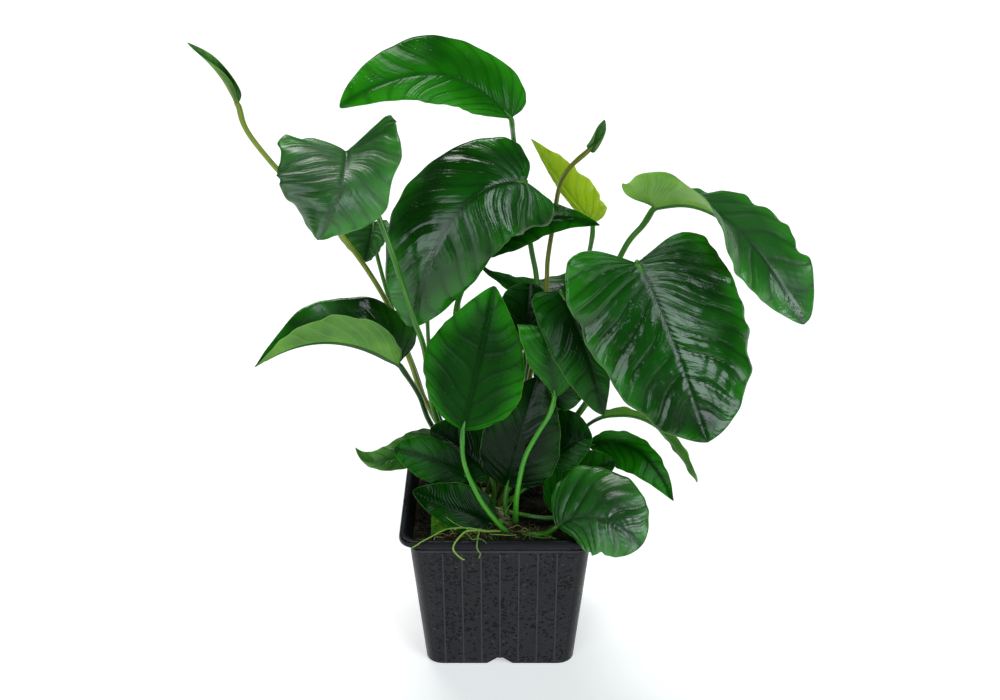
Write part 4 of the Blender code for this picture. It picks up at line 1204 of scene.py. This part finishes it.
LEAF_SLOTS = {"arching": "leaf_bright", "inner_back": "leaf_bright", "folded_tip": "leaf_bright",
              "yellow": "leaf_yellow"}
LEAF_TOPS = {
    "dark": leaf_top("leaf_dark_top", (0.0008, 0.018, 0.0005), (0.0032, 0.070, 0.0012), (0.014, 0.18, 0.003),
                     (0.004, 0.046, 0.003), (0.10, 0.26, 0.04), gloss=0.36),
    "deep": leaf_top("leaf_deep_top", (0.0005, 0.010, 0.0005), (0.0016, 0.034, 0.0010), (0.008, 0.11, 0.003),
                     (0.003, 0.032, 0.003), (0.08, 0.22, 0.04), gloss=0.11, coat=0.03),
    "shade": leaf_top("leaf_shade_top", (0.0006, 0.013, 0.0005), (0.0020, 0.042, 0.0010),
                      (0.010, 0.12, 0.003), (0.003, 0.032, 0.003), (0.05, 0.16, 0.02), gloss=0.06, coat=0.0,
                      streak=0.0002),
    "matt": leaf_top("leaf_matt_top", (0.0006, 0.018, 0.0004), (0.0022, 0.048, 0.0008), (0.016, 0.210, 0.004),
                     (0.003, 0.036, 0.002), (0.12, 0.28, 0.04), gloss=0.05, coat=0.0, streak=0.0003),
    "soft": leaf_top("leaf_soft_top", (0.012, 0.070, 0.006), (0.045, 0.190, 0.025), (0.11, 0.30, 0.05),
                     (0.03, 0.13, 0.02), (0.14, 0.32, 0.06), gloss=0.2, coat=0.0),
    "mid": leaf_top("leaf_mid_top", (0.0012, 0.040, 0.0005), (0.0050, 0.100, 0.0012), (0.018, 0.210, 0.004),
                    (0.008, 0.070, 0.004), (0.12, 0.30, 0.05), gloss=0.14, coat=0.0),
    "bright": leaf_top("leaf_bright_top", (0.003, 0.060, 0.001), (0.009, 0.135, 0.002), (0.024, 0.25, 0.004),
                       (0.010, 0.09, 0.005), (0.10, 0.30, 0.04), gloss=0.14, coat=0.02),
    "wet": leaf_top("leaf_wet_top", (0.0010, 0.020, 0.0006), (0.0040, 0.080, 0.0016), (0.018, 0.20, 0.004),
                    (0.005, 0.050, 0.004), (0.14, 0.30, 0.08), gloss=0.60, coat=0.06, film=(0.28, 0.42)),
    "satin": leaf_top("leaf_satin_top", (0.0020, 0.036, 0.0010), (0.0070, 0.100, 0.003), (0.022, 0.20, 0.006),
                      (0.008, 0.070, 0.006), (0.12, 0.28, 0.06), gloss=0.62, coat=0.04, film=(0.34, 0.48)),
    "yellow": leaf_top("leaf_yellow_top", (0.24, 0.40, 0.008), (0.32, 0.48, 0.012), (0.40, 0.56, 0.02),
                       (0.42, 0.56, 0.06), (0.44, 0.52, 0.06), gloss=0.2),
}
LEAF_UNDERS = {
    "green": leaf_under("leaf_green_under", (0.04, 0.15, 0.012), (0.10, 0.27, 0.024), (0.18, 0.38, 0.06)),
    "lit": leaf_under("leaf_lit_under", (0.09, 0.27, 0.02), (0.20, 0.42, 0.05), (0.30, 0.50, 0.10)),
    "yellow": leaf_under("leaf_yellow_under", (0.22, 0.34, 0.03), (0.34, 0.46, 0.06), (0.44, 0.55, 0.12)),
}
STALK_SKINS = {
    "green": stalk_skin("stalk_mid", (0.016, 0.10, 0.004), (0.05, 0.20, 0.010), (0.05, 0.07, 0.01)),
    "lime": stalk_skin("stalk_lime", (0.022, 0.16, 0.008), (0.07, 0.32, 0.02), (0.02, 0.10, 0.008)),
    "deep": stalk_skin("stalk_deep", (0.010, 0.045, 0.006), (0.03, 0.10, 0.012), (0.03, 0.05, 0.01)),
    "olive": stalk_skin("stalk_olive_skin", (0.10, 0.15, 0.012), (0.24, 0.32, 0.030), (0.06, 0.07, 0.02)),
    "brown": stalk_skin("stalk_brown_skin", (0.06, 0.085, 0.004), (0.20, 0.21, 0.012), (0.26, 0.17, 0.02)),
}

for build in (build_stage, build_lights, build_camera, build_pot, dress_medium, build_moss, build_scrap,
              build_fibres, build_stem, build_roots, upper_leaves, right_leaves, middle_leaves,
              low_left_leaves):
    build()
